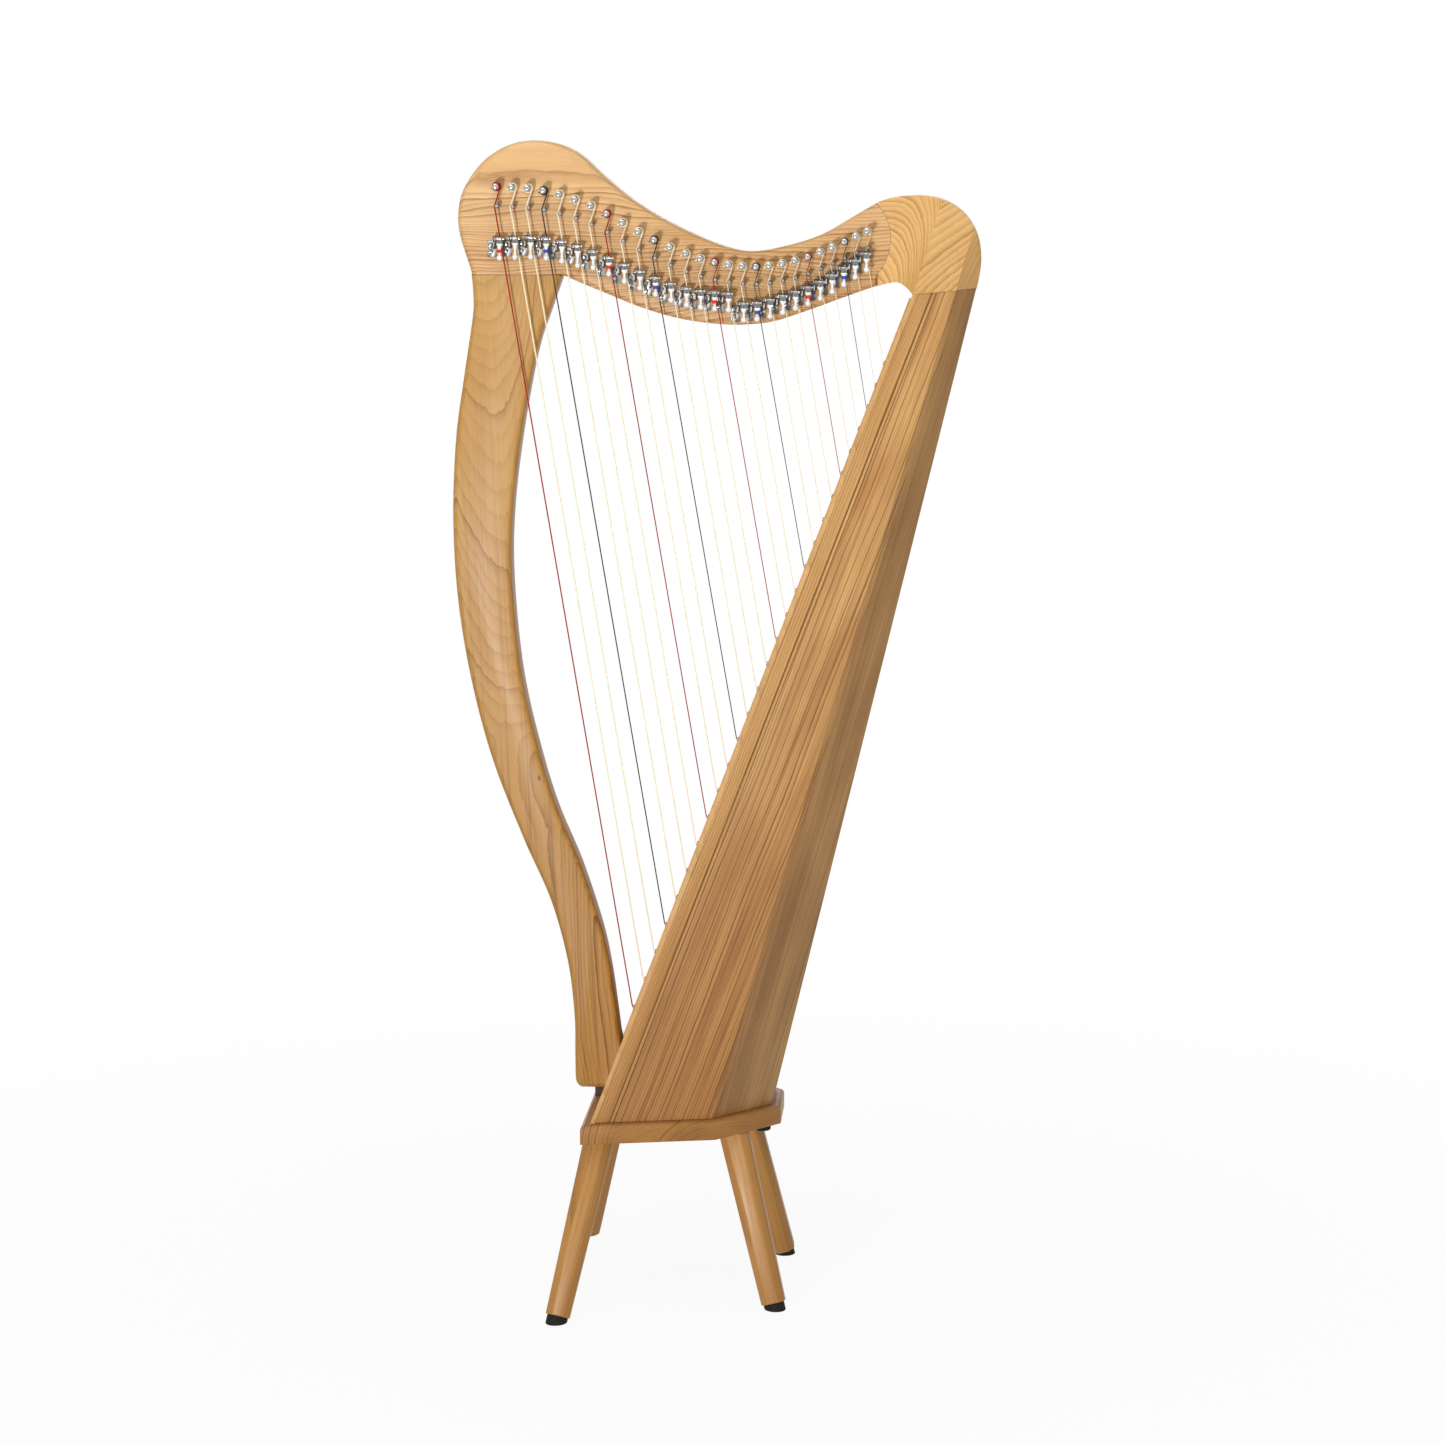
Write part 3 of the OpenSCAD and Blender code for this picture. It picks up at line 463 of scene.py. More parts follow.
# %% Ways the boards run
PLATE_TOP = 0.193
SPIRE = Vector((0.3577, 0, 1.433))
FRONT_CORNER = Vector((-0.1165, 0.120, PLATE_TOP))
SIDE_CORNER = Vector((0.0015, 0.095, PLATE_TOP))
BACK_CORNER = Vector((0.0585, 0.031, PLATE_TOP))
BOARD_RUN = Vector((0.3572, 0, 0.9340))
BOARD_FACE = Vector((-0.9340, 0, 0.3572))
INSIDE_BOX = Vector((0, 0, 0.4))
SIDES = ((-1, "left"), (1, "right"))
LEGS = {"front_left": ((-0.1095, -0.092, 0.174), (-0.1475, -0.155, 0.0)),
        "front_right": ((-0.1095, 0.092, 0.174), (-0.1475, 0.155, 0.0)),
        "rear_left": ((0.0215, -0.060, 0.174), (0.0655, -0.097, 0.0)),
        "rear_right": ((0.0215, 0.060, 0.174), (0.0655, 0.097, 0.0))}


def mirrored(v, side):
    return Vector((v.x, v.y * side, v.z))


def outward(a, b, c):
    """The way a board through three points faces, away from the inside of the box."""
    face = (b - a).cross(c - a).normalized()
    return face if face.dot(a - INSIDE_BOX) > 0 else -face


# Joints: a plane or a circle, and half the width of its dark line in millimetres
ON_BOARD = Vector((-0.1165, 0, PLATE_TOP))
INTO_BOX = -BOARD_FACE.normalized()
UP = Vector((0, 0, 1))
JOINT_MIDDLE = Vector((0.1225, 0, 1.0565))
JOINT_RADIUS = 0.049
BOARD_JOINT = ((ON_BOARD + INTO_BOX * 0.0040, INTO_BOX), 0.35)
# The groove's dark line is painted shade inside the groove, not a joint
GROOVE = ((ON_BOARD + INTO_BOX * 0.0172, INTO_BOX), 0.8)
RAIL_JOINT = ((ON_BOARD + INTO_BOX * 0.0210, INTO_BOX), 0.45)
PLATE_JOINT = ((Vector((0, 0, PLATE_TOP)), UP), 0.8)
SEAT_JOINT = ((Vector((0.1936, 0, 1.0037)), Vector((-0.0828, 0, 0.9966))), 0.4)
NECK_JOINT = ((JOINT_MIDDLE, JOINT_RADIUS), 0.5)
PILLAR_JOINT = ((Vector((0, 0, 1.0210)), UP), 0.5)

# %% [markdown]
# ## One log for each board
#
# No two boards look as if they came from the same log: each has its own colours, heart and years.
# The boards of the box are darker than the neck, and the foot is the darkest: partly their own
# tone, partly painted shade, as less light reaches low down.

# %% Choose the woods
woods = {}
woods["neck"] = ash(
    "ash_neck", ((0.94, 0.78, 0.56), (0.83, 0.64, 0.42), (0.58, 0.38, 0.18)),
    (1, 0, 0.02), (0, -1, 0), (-0.06, -0.016, 1.112), (-18, -28), ring=3.2, wave=11, taper=0.02,
    strength=1.05, broad=0.6, soft=0.35, streaks=(0.5, 1.6), tone_and_painted_shade=(0, 0, 75, 0.65))
# The pillar darkens towards its foot: painted shade, as less light reaches low down
woods["pillar"] = ash(
    "ash_pillar", ((0.80, 0.62, 0.35), (0.68, 0.48, 0.20), (0.45, 0.27, 0.10)),
    (-0.0444, 0, 1), (0, -1, 0), (-0.2251, -0.016, 0.9768), (0, -73), ring=2.4, wave=4.5,
    taper=0.115, taper_end=-420, strength=1.35, rare=3.0, streaks=(0.3, 3.0),
    tone_and_painted_shade=(2, -60, -560, 0.7), knot=(28.5, -458), joints=(PILLAR_JOINT,))
woods["shoulder"] = ash(
    "ash_shoulder", ((0.93, 0.75, 0.49), (0.84, 0.65, 0.39), (0.64, 0.44, 0.20)),
    (1, 0, 0), (0, -1, 0), (0.16, -0.03, 1.05), (210, -668), ring=2.1, wave=3,
    strength=1.4, rare=0.6, soft=0.7, joints=(NECK_JOINT, SEAT_JOINT))
# Side panels and rails darken towards the plate: painted shade, as less light reaches low down
for side, word in SIDES:
    front, middle, back = (mirrored(v, side) for v in (FRONT_CORNER, SIDE_CORNER, BACK_CORNER))
    side_face = outward(front, middle, SPIRE)
    rear_face = outward(middle, back, SPIRE)
    woods["side_" + word] = ash(
        "ash_side_" + word, ((0.87, 0.68, 0.43), (0.69, 0.48, 0.26), (0.43, 0.25, 0.10)),
        SPIRE - front, side_face, (0.05, 0.08 * side, 0.5), (-150 * side, -60), ring=2.6, wave=3.2,
        strength=1.4, broad=1.0, streaks=(2.0, 3.4), tone_and_painted_shade=(2, 300, -330, 0.85),
        joints=(RAIL_JOINT, PLATE_JOINT))
    woods["rail_" + word] = ash(
        "ash_rail_" + word, ((0.87, 0.68, 0.43), (0.72, 0.51, 0.28), (0.48, 0.30, 0.14)),
        SPIRE - front, side_face, (0.02, 0.1 * side, 0.4), (-260, -40), ring=2.6, wave=2.5,
        strength=0.9, streaks=(1.2, 1.8), tone_and_painted_shade=(2, 300, -200, 0.6),
        joints=(BOARD_JOINT, GROOVE, RAIL_JOINT, PLATE_JOINT))
    woods["rear_" + word] = ash(
        "ash_rear_" + word, ((0.76, 0.58, 0.36), (0.60, 0.43, 0.24), (0.40, 0.26, 0.13)),
        SPIRE - middle, rear_face, (0.1, 0.05 * side, 0.45), (180, -30), ring=2.6, wave=2.0,
        strength=1.0, broad=0.8, streaks=(1.2, 1.2), joints=(PLATE_JOINT,))
woods["back"] = ash(
    "ash_back", ((0.83, 0.66, 0.43), (0.66, 0.48, 0.28), (0.47, 0.32, 0.17)),
    SPIRE - Vector((0.0585, 0, PLATE_TOP)), (0.95, 0, -0.2), (0.1, 0, 0.5), (90, -60), ring=3.2,
    wave=3, strength=0.75, joints=(PLATE_JOINT,))
woods["board"] = ash(
    "ash_board", ((0.88, 0.71, 0.48), (0.78, 0.59, 0.36), (0.60, 0.42, 0.22)),
    BOARD_RUN, BOARD_FACE, (0, 0, 0.5), (420, -20), ring=2.6, wave=2.0, strength=0.65)
woods["strip"] = ash(
    "ash_strip", ((0.85, 0.66, 0.42), (0.72, 0.52, 0.29), (0.54, 0.36, 0.18)),
    BOARD_RUN, BOARD_FACE, (0, 0, 0.5), (120, -20), ring=3.0, wave=2.0, strength=0.7)
woods["inner"] = ash(
    "bare_inner_wood", ((0.88, 0.76, 0.57), (0.76, 0.60, 0.40), (0.60, 0.44, 0.26)),
    (0, 1, 0), BOARD_FACE, (0, 0, 0.5), (90, -40), ring=3.6, wave=3.0, strength=0.7)
# Plate and legs get the darkest tones: partly their own, partly painted shade low down
woods["plate"] = ash(
    "ash_plate", ((0.74, 0.54, 0.30), (0.58, 0.38, 0.17), (0.38, 0.23, 0.09)),
    (0, 1, 0), (0, 0, 1), (0, 0, 0.185), (0, -30), ring=3.4, wave=2.5, strength=1.4, staves=43.0)
for number, (word, (top, foot)) in enumerate(LEGS.items()):
    woods["leg_" + word] = ash(
        "ash_leg_" + word, ((0.75, 0.55, 0.29), (0.62, 0.42, 0.20), (0.48, 0.30, 0.13)),
        Vector(top) - Vector(foot), (0, -1, 0.1), foot, (24 + 9 * number, -30 - 8 * number),
        ring=3.4, wave=4, strength=0.75)
print("woods:", len(woods))

# %% [markdown]
# ## Rounded edges
#
# A cabinet maker never leaves a sharp edge: boards are eased with sandpaper, and the neck and
# pillar are run along a router that rounds them by a few millimetres. CAD meshes are sharp and cut
# into triangles, so a copy of each part is merged, its flat faces joined again, and its edges
# bevelled. The copy then stands for the part. Parts that nobody sees only get their wood.

# %% Copy a part and ease its edges
def mesh_of(shape, name):
    mesh = bpy.data.meshes.new(name)
    shape.to_mesh(mesh)
    shape.free()
    return mesh


def stand_in(mesh, materials, node, body="harp", smooth=30):
    """Shows a mesh in place of a part and on its body."""
    for material in materials:
        mesh.materials.append(material)
    mesh.polygons.foreach_set("use_smooth", [True] * len(mesh.polygons))
    mesh.set_sharp_from_angle(angle=math.radians(smooth))
    piece = bpy.data.objects.new(mesh.name, mesh)
    bpy.context.scene.collection.objects.link(piece)
    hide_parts(node)
    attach(piece, body)
    print(mesh.name, "faces:", len(mesh.polygons))


def refinish(node, material):
    """Gives a part that already has its true shape a new finish."""
    nodes[node].data.materials.clear()
    nodes[node].data.materials.append(material)


def merged_copy(node, flat=0.5):
    shape = bmesh.new()
    shape.from_mesh(nodes[node].data)
    bmesh.ops.remove_doubles(shape, verts=shape.verts, dist=2e-5)
    bmesh.ops.dissolve_limit(shape, angle_limit=math.radians(flat), verts=shape.verts,
                             edges=shape.edges, use_dissolve_boundaries=False, delimit=set())
    shape.normal_update()
    return shape


def ease(shape, width, choose_edge, segments, clamp=True):
    edges = [e for e in shape.edges if len(e.link_faces) == 2 and e.is_convex and choose_edge(e)]
    bmesh.ops.bevel(shape, geom=edges, offset=width, offset_type="OFFSET", segments=segments,
                    profile=0.5, affect="EDGES", material=-1, clamp_overlap=clamp, loop_slide=True)


def eased_part(node, material, width, segments=3, degrees=32):
    shape = merged_copy(node)
    ease(shape, width, lambda e: e.calc_face_angle(0) > math.radians(degrees), segments)
    stand_in(mesh_of(shape, node + "_eased"), [material], node)


for side, word in SIDES:
    eased_part("side_rail_" + word, woods["rail_" + word], 0.0006)
    eased_part("side_panel_" + word, woods["side_" + word], 0.0006)
    eased_part("rear_panel_" + word, woods["rear_" + word], 0.0006)
eased_part("back_panel", woods["back"], 0.0008)
eased_part("soundboard", woods["board"], 0.0007)
eased_part("string_strip", woods["strip"], 0.0006)
eased_part("base_plate", woods["plate"], 0.0026, segments=4, degrees=40)
for word in LEGS:
    eased_part("leg_" + word, woods["leg_" + word], 0.0012)
for node in ("string_bar", "foot_block", "box_braces"):
    refinish(node, woods["inner"])

# %% [markdown]
# ## Neck, pillar and shoulder
#
# These three are cut from thick planks and rounded along their outline, but not where they are
# glued to each other: there the faces run straight on and only a fine line shows. So the edges to
# round are chosen by what they separate: a wall that follows the outline on one side, and a face
# of the plank on the other.
#
# A bevel can't be wider than the short edges beside it allow. On the neck and the pillar the
# shortest edges of the outline are collapsed first, and the bevel's own limit is switched off. The
# shoulder block would fold that way, so it keeps the limit.

# %% Round the outline of the planks
SHORTEST = 0.0009
LONGEST_HOLE_RIM = 0.1


def is_wall(face):
    return abs(face.normal.y) < 0.12


def in_round_joint(face):
    middle = face.calc_center_median()
    off = math.hypot(middle.x - JOINT_MIDDLE.x, middle.z - JOINT_MIDDLE.z)
    return abs(off - JOINT_RADIUS) < 0.0006 and middle.x > JOINT_MIDDLE.x - 0.03


def faces_way(face, way):
    return face.normal.dot(way) > 0.9995


def neck_glued(wall):
    return in_round_joint(wall) or (faces_way(wall, -UP) and wall.calc_center_median().x < -0.1)


def pillar_glued(wall):
    at_foot = wall.calc_center_median().z < 0.5
    return faces_way(wall, UP) or (faces_way(wall, -BOARD_FACE) and at_foot)


def shoulder_glued(wall):
    return in_round_joint(wall) or wall.calc_area() > 0.0006


def outline_edges(shape, glued):
    """Edges between a wall and a flat side. Short rings of them are drilled holes: left sharp."""
    left = {e for e in shape.edges
            if len(e.link_faces) == 2 and is_wall(e.link_faces[0]) != is_wall(e.link_faces[1])}
    outline = set()
    while left:
        todo, ring = [left.pop()], []
        while todo:
            ring.append(todo.pop())
            for v in ring[-1].verts:
                beside = [e for e in v.link_edges if e in left]
                left.difference_update(beside)
                todo += beside
        if sum(e.calc_length() for e in ring) > LONGEST_HOLE_RIM:
            outline.update(ring)
    return [e for e in shape.edges if e in outline
            and not glued(e.link_faces[0] if is_wall(e.link_faces[0]) else e.link_faces[1])]


def rounded_plank(node, material, width, glued, clamp):
    shape = merged_copy(node, flat=0.25)
    if not clamp:
        short = [e for e in outline_edges(shape, glued) if e.calc_length() < SHORTEST]
        bmesh.ops.dissolve_degenerate(shape, dist=SHORTEST, edges=short)
    chosen = set(outline_edges(shape, glued))
    ease(shape, width, lambda e: e in chosen, 5, clamp)
    stand_in(mesh_of(shape, node + "_rounded"), [material], node, smooth=24)


rounded_plank("neck", woods["neck"], 0.0055, neck_glued, clamp=False)
rounded_plank("pillar", woods["pillar"], 0.0050, pillar_glued, clamp=False)
rounded_plank("shoulder_block", woods["shoulder"], 0.0040, shoulder_glued,
              clamp=True)

# %% [markdown]
# ## Metals, plastics and rubber
#
# The pins are nickel plated and bright, the lever frames have a darker plating, and the lever
# handles are white moulded plastic. Every plated colour is set darker than the bare metal: that is
# painted shade, standing in for the darker surroundings the plating would reflect, as the world it
# reflects here is plain white. Plating is never quite even: fine scratches and fingerprints
# change how sharply it reflects. Noise in the roughness gives that without a picture of scratches.

# %% Finishes for the fittings
SCRATCHES = 1800
FINGERPRINTS = 160
WORN_SPOTS = 90


def plated(name, colour, rough):
    metal = Finish(name)
    place = metal.node("ShaderNodeTexCoord", output="Object")
    marks = metal.noise(metal.stretch(place, SCRATCHES, SCRATCHES, SCRATCHES * 0.35), detail=3)
    dull = metal.noise(metal.stretch(place, FINGERPRINTS, FINGERPRINTS, FINGERPRINTS), detail=2)
    tint = metal.mix((dull - 0.4) * 0.6, colour, darker(colour, 0.72))
    metal.set(Base_Color=tint, Metallic=1.0,
              Roughness=rough + (marks - 0.5) * 0.1 + (dull - 0.5) * 0.1,
              Normal=metal.bump(marks, 0.00002, 0.4))
    return metal.material


def moulded(name, colour, rough, grain_size=2600, coat=0.0, depth=0.00003, gloss=0.5):
    plastic = Finish(name)
    place = plastic.node("ShaderNodeTexCoord", output="Object")
    skin = plastic.noise(plastic.stretch(place, grain_size, grain_size, grain_size), detail=2)
    wear = plastic.noise(plastic.stretch(place, WORN_SPOTS, WORN_SPOTS, WORN_SPOTS), detail=2)
    shade = plastic.mix((wear - 0.5) * 0.5 + 0.1, colour, darker(colour, 0.78))
    plastic.set(Base_Color=shade, Roughness=rough + (wear - 0.5) * 0.12, Coat_Weight=coat,
                Specular_IOR_Level=gloss, Normal=plastic.bump(skin, depth, 0.4))
    return plastic.material


# Plated colours darker than the bare metals: painted shade for darker reflected surroundings
chrome = plated("bright_plating", (0.42, 0.42, 0.43, 1), 0.12)
steel = plated("bridge_steel", (0.22, 0.22, 0.23, 1), 0.24)
nickel = plated("dark_plating", (0.12, 0.115, 0.11, 1), 0.34)
barrel_plating = plated("barrel_plating", (0.24, 0.24, 0.24, 1), 0.22)
bronze = plated("eyelet_bronze", (0.22, 0.15, 0.09, 1), 0.34)
white_handle = moulded("white_handle", (0.88, 0.89, 0.90, 1), 0.28, coat=0.3)
red_band = moulded("red_band", tone(0.86, 0.12, 0.10), 0.4)
blue_band = moulded("blue_band", tone(0.16, 0.28, 0.70), 0.4)
rubber = moulded("black_rubber", (0.013, 0.012, 0.010, 1), 0.7, 1400, depth=0.00008, gloss=0.15)
red_nylon = moulded("red_nylon", tone(0.64, 0.02, 0.05), 0.3, 4000, gloss=0.3)
black_nylon = moulded("black_nylon", tone(0.09, 0.09, 0.10), 0.32, 4000)
cream_nylon = moulded("cream_nylon", tone(0.99, 0.94, 0.79), 0.28, 4000)
# Dark brown for the pad under the pillar: painted shadow of the pillar on the plate
painted_shadow_brown = moulded("pad_painted_shadow", tone(0.27, 0.16, 0.10), 0.7, 900, depth=0.0002)

# %% [markdown]
# ## Rubber feet, and the pad under the pillar in painted shadow
#
# The feet are cut from round rubber, and their rims wear round. A bevel of a little under two
# millimetres on the copy of the part gives that. The pad under the pillar is dark brown, which is
# painted shadow: it stands for the pillar's shadow on the plate. The parts that already have their
# true shape only need their finish.

# %% Feet, pad and small parts
eased_part("leg_tips", rubber, 0.0018, segments=4)
eased_part("base_bumpers", rubber, 0.0015, segments=4)
# The pad's dark brown is painted shadow of the pillar
eased_part("pillar_spacer", painted_shadow_brown, 0.0008)
eased_part("lever_plates", nickel, 0.00022, segments=2)
refinish("pillar_bolt", steel)
refinish("bridge_pins", steel)
refinish("lever_axles", chrome)
refinish("string_eyelets", bronze)

# %% [markdown]
# ## Where the pins stand
#
# The strings and the turned pins have to meet the parts exactly. Rather than typing their places
# again, the next cell reads them off: a part such as the tuning pins is a set of separate solids,
# and the far end of each gives the line of its middle.

# %% Find each solid of a part
def solids(node):
    """The points of each separate solid of a part."""
    shape = bmesh.new()
    shape.from_mesh(nodes[node].data)
    bmesh.ops.remove_doubles(shape, verts=shape.verts, dist=2e-5)
    left = set(shape.verts)
    groups = []
    while left:
        todo, group = [left.pop()], []
        while todo:
            v = todo.pop()
            group.append(v.co.copy())
            for e in v.link_edges:
                other = e.other_vert(v)
                if other in left:
                    left.remove(other)
                    todo.append(other)
        groups.append(group)
    shape.free()
    return groups


def far_ends(node, way):
    way = Vector(way)
    ends = []
    for group in solids(node):
        reach = max(p.dot(way) for p in group)
        tip = [p for p in group if p.dot(way) > reach - 2e-5]
        ends.append(sum(tip, Vector()) / len(tip))
    return sorted(ends, key=lambda p: p.x)


pin_tips = far_ends("tuning_pins", (0, -1, 0))
bridge_tips = far_ends("bridge_pins", (0, -1, 0))
holes = far_ends("string_eyelets", BOARD_FACE)
STRINGS = len(pin_tips)
levers = frame["joints"]
print("pins", STRINGS, "bridges", len(bridge_tips), "eyelets", len(holes), "levers", len(levers))

# %% [markdown]
# ## Turned parts
#
# Pins, barrels, screw heads and knobs are all turned on a lathe: a profile that runs round an axis.
# The spin operator does the same to a line of points. One helper makes any of them, a second makes
# the few square pieces, and a third adds a finished shape to the mesh of the whole set, at its
# place. Fittings are small, so their sizes are written in millimetres.

# %% A lathe
MM = 0.001
TO_FRONT = Matrix.Rotation(math.pi / 2, 4, "X")
ALONG_X = Matrix.Rotation(math.pi / 2, 4, "Y")


def turned(profile, segments=20):
    """A closed solid from points (radius, height) that start and end on the axis, round Z."""
    shape = bmesh.new()
    line = [shape.verts.new((r * MM, 0, h * MM)) for r, h in profile]
    edges = [shape.edges.new(pair) for pair in zip(line, line[1:])]
    bmesh.ops.spin(shape, geom=line + edges, cent=(0, 0, 0), axis=(0, 0, 1), angle=2 * math.pi,
                   steps=segments, use_merge=True, use_duplicate=False)
    bmesh.ops.remove_doubles(shape, verts=shape.verts, dist=1e-6)
    bmesh.ops.recalc_face_normals(shape, faces=shape.faces)
    return shape


def block(low, high, ease_by):
    """A box between two corners, with eased edges."""
    shape = bmesh.new()
    low, high = (Vector([v * MM for v in corner]) for corner in (low, high))
    bmesh.ops.create_cube(shape, size=1, matrix=(Matrix.Translation((high + low) / 2)
                                                 @ Matrix.Diagonal((*(high - low), 1))))
    bmesh.ops.bevel(shape, geom=shape.edges[:], offset=ease_by * MM, offset_type="OFFSET",
                    segments=2, profile=0.5, affect="EDGES", material=-1, clamp_overlap=True)
    return shape


def add_to(gathered, part, matrix, material=0):
    """Adds a copy of part to the shape that is being gathered, turned and moved by matrix."""
    copy = part.copy()
    bmesh.ops.transform(copy, matrix=matrix, verts=copy.verts)
    for face in copy.faces:
        face.material_index = material
    carrier = mesh_of(copy, "carrier")
    gathered.from_mesh(carrier)
    bpy.data.meshes.remove(carrier)


# %% [markdown]
# ## Tuning pins
#
# A tuning pin is a steel rod with a fine thread where it sits in the wood, a small hole for the
# string, and a squared end on the far side for the tuning key. The player turns it from the right,
# so the square stands out on that side. Only the last turns of the thread show beside the wood.

# %% Turn the tuning pins
PIN_R = 3.1
HALF_NECK = 16.0
PIN_OUT = 25.0
DOME = 1.2
KEY_HALF, KEY_LENGTH = 2.1, 18
THREAD_TURNS = 4

thread = []
for turn_number in range(THREAD_TURNS):
    height = HALF_NECK + 0.6 + turn_number * 1.1
    thread += [(PIN_R, height), (PIN_R, height + 0.45), (PIN_R - 0.22, height + 0.75)]
dome = [(PIN_R * math.cos(math.radians(a)),
         HALF_NECK + PIN_OUT - DOME + DOME * math.sin(math.radians(a))) for a in range(0, 90, 15)]
pin = turned([(0, -HALF_NECK - 1), (PIN_R, -HALF_NECK - 1), (PIN_R, HALF_NECK)] + thread + dome
             + [(0, HALF_NECK + PIN_OUT)], 24)
key_end = block([-KEY_HALF, -KEY_HALF, -(HALF_NECK + KEY_LENGTH)],
                [KEY_HALF, KEY_HALF, -HALF_NECK], 0.5)
all_pins = bmesh.new()
for tip in pin_tips:
    at = Matrix.Translation((tip.x, 0, tip.z)) @ TO_FRONT
    add_to(all_pins, pin, at)
    add_to(all_pins, key_end, at)
stand_in(mesh_of(all_pins, "tuning_pins_turned"), [chrome], "tuning_pins")

# %% [markdown]
# ## Strings
#
# Each string starts at a knot behind the soundboard, comes out through a metal eyelet, runs
# straight to its bridge pin and winds three times round its tuning pin, with a short end left over.
# A string is thin and round, so a line of points with a round section is the simplest way to make
# it. Players find their place by colour: every C is red and every F black, and the rest are clear
# nylon.

# %% Wind the strings
STRING_Y = -28.0
THICKEST, THINNEST = 0.8, 0.35
KNOT_DEPTH = 15.2
KNOT_THICKNESS = 2.4
BRIDGE_GROOVE_R = 1.6
WINDINGS = 3
STEPS = 20
NOTES = 7
C_NOTE, F_NOTE = 0, 3


def string_radius(i):
    return THICKEST + (THINNEST - THICKEST) * i / (STRINGS - 1)


def string_points(i):
    """The line of a string as points in millimetres, each with the radius it has there."""
    r = string_radius(i)
    hole = holes[i] / MM
    knot = hole - BOARD_FACE * KNOT_DEPTH
    bridge, tuner = bridge_tips[i] / MM, pin_tips[i] / MM
    head = Vector((bridge.x - (BRIDGE_GROOVE_R + r) * 1.02 - 0.05, STRING_Y, bridge.z))
    coil = PIN_R + r + 0.04
    to_head = Vector((head.x - tuner.x, head.z - tuner.z))
    start = math.atan2(to_head.y, to_head.x) + math.acos(coil / to_head.length)
    points = [(knot, r * KNOT_THICKNESS), (knot + BOARD_FACE * 1.6, r * KNOT_THICKNESS),
              (knot + BOARD_FACE * 2.0, r), (hole, r), (hole + BOARD_FACE * (r + 0.25), r),
              (head, r)]
    for k in range(WINDINGS * STEPS + 1):
        a = start + 2 * math.pi * k / STEPS
        points.append((Vector((tuner.x + coil * math.cos(a), STRING_Y + (2 * r + 0.12) * k / STEPS,
                               tuner.z + coil * math.sin(a))), r))

    # The end goes through the hole in the pin and stands out a little beyond it
    middle = Vector((tuner.x, STRING_Y + (2 * r + 0.12) * WINDINGS, tuner.z))
    out = Vector((math.cos(a + 0.7), 0, math.sin(a + 0.7)))
    points.append((middle + out * (PIN_R * 0.6), r))
    points.append((middle - out * (PIN_R + 3.2), r))
    return points


def string_piece(name, notes, material, node):
    curve = bpy.data.curves.new(name, "CURVE")
    curve.dimensions = "3D"
    curve.bevel_depth = MM
    curve.bevel_resolution = 1
    curve.use_fill_caps = True
    for i in range(STRINGS):
        if i % NOTES not in notes:
            continue
        points = string_points(i)
        spline = curve.splines.new("POLY")
        spline.points.add(len(points) - 1)
        for target, (place, r) in zip(spline.points, points):
            target.co = (*(place * MM), 1)
            target.radius = r
    drawn = bpy.data.objects.new(name + "_line", curve)
    bpy.context.scene.collection.objects.link(drawn)
    shown = drawn.evaluated_get(bpy.context.evaluated_depsgraph_get())
    mesh = bpy.data.meshes.new_from_object(shown)
    bpy.data.objects.remove(drawn)
    mesh.name = name
    stand_in(mesh, [material], node, smooth=50)


string_piece("red_strings", (C_NOTE,), red_nylon, "strings_red")
string_piece("black_strings", (F_NOTE,), black_nylon, "strings_black")
string_piece("cream_strings", set(range(NOTES)) - {C_NOTE, F_NOTE}, cream_nylon,
             "strings_natural")

# %% [markdown]
# ## Screws of the lever plates
#
# Each lever plate is held by two small screws with a domed head and a cross for the screwdriver.
# The head is turned. Then the ring round its recess is pulled out at four points and drawn in
# between them, which makes the cross. A screw stops wherever it is tight, so each is turned
# differently.

# %% Turn the screws
RECESS_R = 1.0
PLATE_THICKNESS = 1.5

screw = turned([(0, 0.55), (0.3, 0.55), (RECESS_R, 1.42), (1.5, 1.3), (1.95, 0.95), (2.2, 0.35),
                (2.2, 0), (1.1, 0), (1.1, -9), (0, -9.6)], 16)
for v in screw.verts:
    if abs(math.hypot(v.co.x, v.co.y) - RECESS_R * MM) < 2e-5 and v.co.z > 1 * MM:
        quarter = (math.degrees(math.atan2(v.co.y, v.co.x)) + 360) % 90
        pull = 1.3 if min(quarter, 90 - quarter) < 5 else 0.42
        v.co.x *= pull
        v.co.y *= pull
all_screws = bmesh.new()
for group in solids("lever_screws"):
    low = Vector([min(p[k] for p in group) for k in range(3)])
    high = Vector([max(p[k] for p in group) for k in range(3)])
    middle = (low + high) / 2
    place = Matrix.Translation((middle.x, low.y + PLATE_THICKNESS * MM, middle.z))
    spin = Matrix.Rotation(middle.x * 900, 4, "Z")
    add_to(all_screws, screw, place @ TO_FRONT @ spin)
stand_in(mesh_of(all_screws, "lever_screws_turned"), [chrome], "lever_screws")

# %% [markdown]
# ## Sharpening levers
#
# A lever has a plated barrel that turns on its axle, a stem below it, and a white handle like a
# tiny trumpet with a ball at its end. Flipped up, its cam presses the string and raises it a
# semitone. The C levers carry a red band and the F levers a blue one. The shape is made once about
# its axle, hanging straight down, then tipped by its resting lean and moved to each joint. The cam
# is set so that the flip brings it level, towards the string.

# %% Build and place the levers
REST_LEAN = math.radians(-8)
FLIP = 110
CAM_TURN = math.radians(-(180 - FLIP) - 90)
BASS_REACH, OTHER_REACH = 18.3, 15.2
BASS_LEVERS = 6
BALL_R = 2.75
HANDLE_HALF = 2
EYE_R, EYE_HALF, EYE_DOWN = 1.0, 1.26, 3.4
DARK, BARREL, WHITE, BAND = range(4)

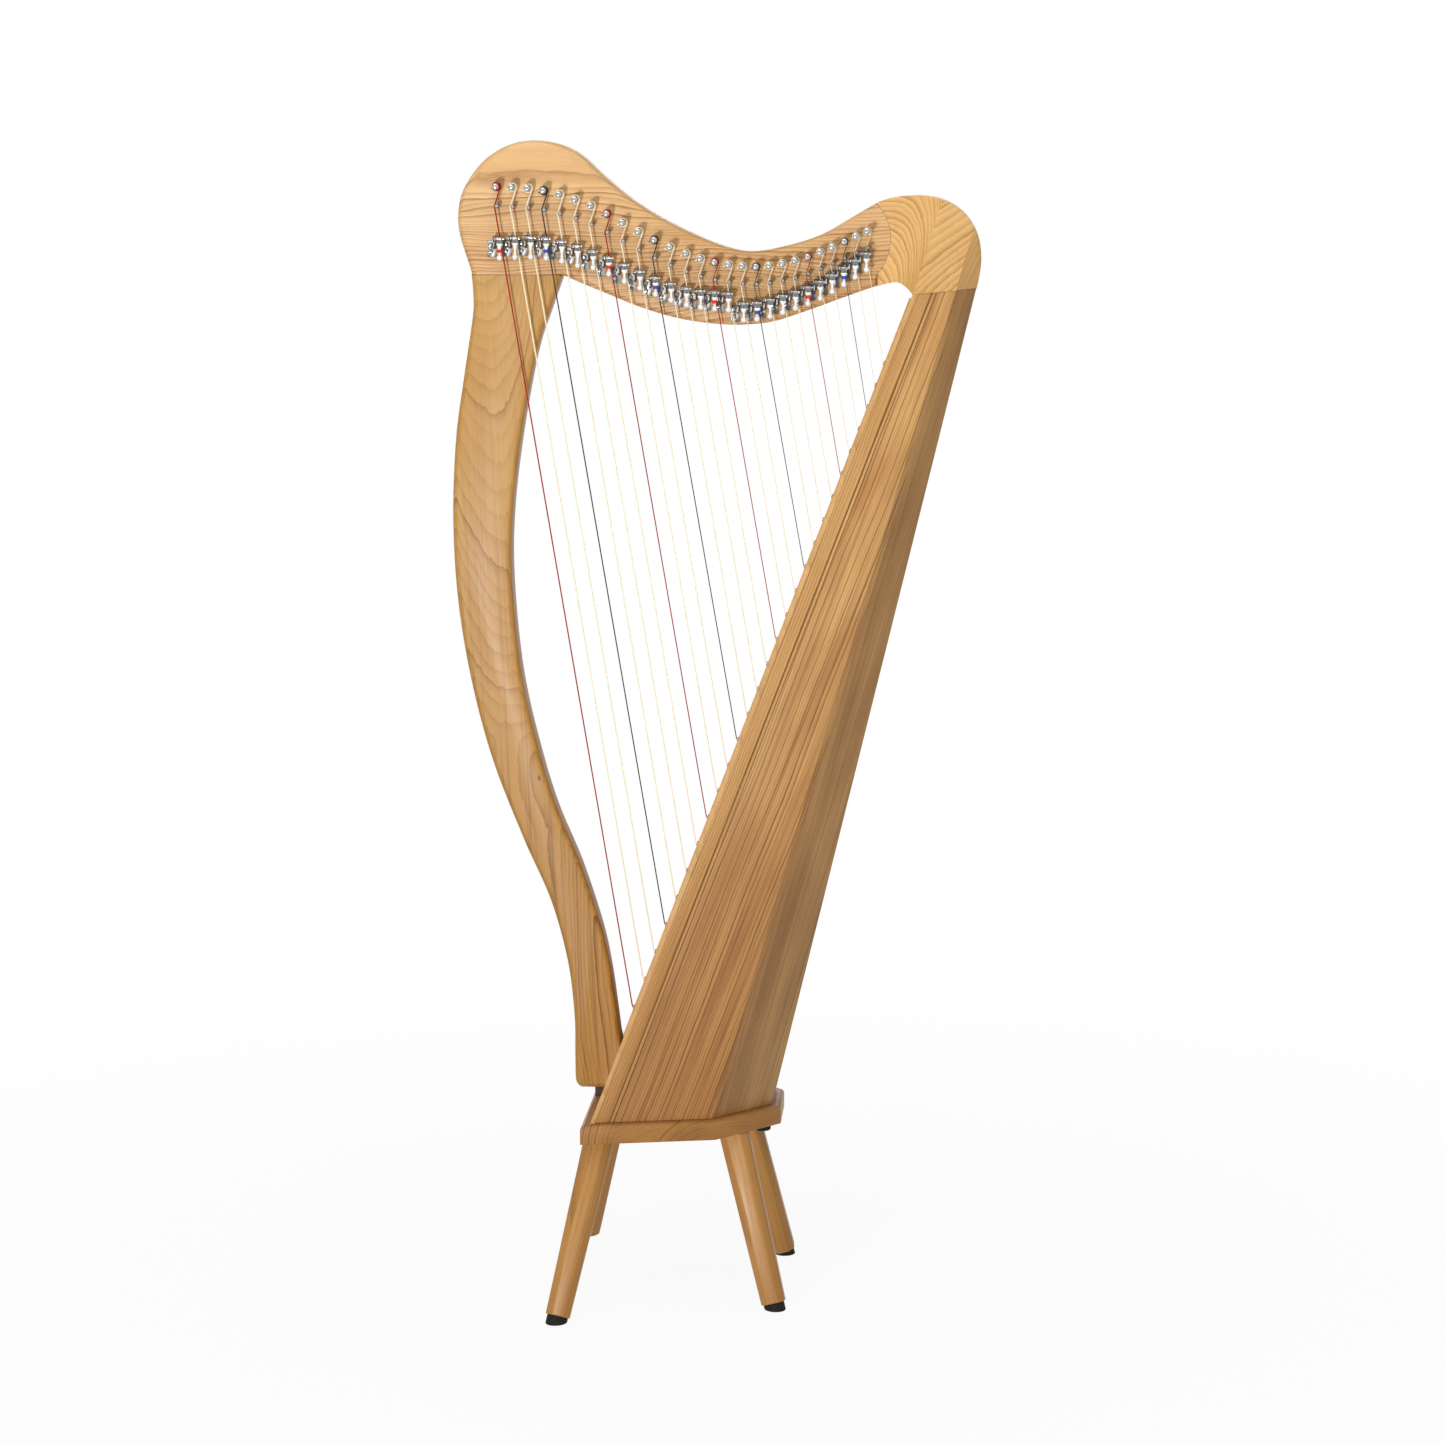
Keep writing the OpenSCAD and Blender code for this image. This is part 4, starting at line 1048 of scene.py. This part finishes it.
barrel = turned([(0, -5.0), (2.1, -5.0), (2.55, -4.8), (2.6, -4.4), (2.55, -3.9), (2.0, -3.7),
                 (1.85, -3.4), (1.85, -2.2), (2.0, -2.0), (2.0, 1.6), (1.8, 1.8), (2.0, 2.1),
                 (2.05, 2.9), (1.8, 3.2), (0, 3.2)])
stem = block([-2.8, -1.2, -5.3], [2.8, 1.2, -0.6], 0.35)
cam = block([-1, -0.9, -2.4], [1, 0.9, 0], 0.2)
eye = turned([(0, -EYE_HALF), (0.95, -EYE_HALF), (EYE_R, -1.0), (EYE_R, 1.0), (0.95, EYE_HALF),
              (0, EYE_HALF)], 12)
band = turned([(0, -1.5), (2.4, -1.5), (2.65, -1.2), (2.65, 1.2), (2.4, 1.5), (0, 1.5)])


def handle_waist(reach):
    return reach - 2.8 - 3.6


def handle_shape(reach):
    """A trumpet below the barrel, pressed flat at its sides, and a ball at its end."""
    waist = handle_waist(reach)
    points = [(0, -4.6), (3.1, -4.6), (3.3, -4.85), (3.3, -5.3), (2.9, -6.0), (2.2, -6.9),
              (1.65, -(7.2 + waist) / 2), (1.4, -waist + 1.2), (1.2, -waist), (1.25, -waist - 1.2)]
    ball = [(BALL_R * math.cos(math.radians(a)), -reach - BALL_R * math.sin(math.radians(a)))
            for a in range(-60, 90, 15)]
    shape = turned(points + ball + [(0, -reach - BALL_R)])
    for v in shape.verts:
        if v.co.z > -(reach - 2) * MM:
            v.co.y = max(-HANDLE_HALF * MM, min(HANDLE_HALF * MM, v.co.y))
    return shape


for number, joint in enumerate(levers):
    name = joint["child"]
    reach = BASS_REACH if number < BASS_LEVERS else OTHER_REACH
    at = Matrix.Translation(joint["pos_m"])
    lean = at @ Matrix.Rotation(REST_LEAN, 4, "X")
    lever = bmesh.new()
    add_to(lever, barrel, at @ ALONG_X, BARREL)
    add_to(lever, stem, lean, BARREL)
    add_to(lever, eye, lean @ Matrix.Translation((0, 0, -EYE_DOWN * MM)) @ TO_FRONT, DARK)
    add_to(lever, handle_shape(reach), lean, WHITE)
    add_to(lever, cam, at @ Matrix.Rotation(CAM_TURN, 4, "X"), DARK)
    materials = [nickel, barrel_plating, white_handle]
    if number % NOTES in (C_NOTE, F_NOTE):
        band_down = (handle_waist(reach) + 0.1) * MM
        add_to(lever, band, lean @ Matrix.Translation((0, 0, -band_down)), BAND)
        materials.append(red_band if number % NOTES == C_NOTE else blue_band)
    stand_in(mesh_of(lever, name + "_turned"), materials, name, body=name)
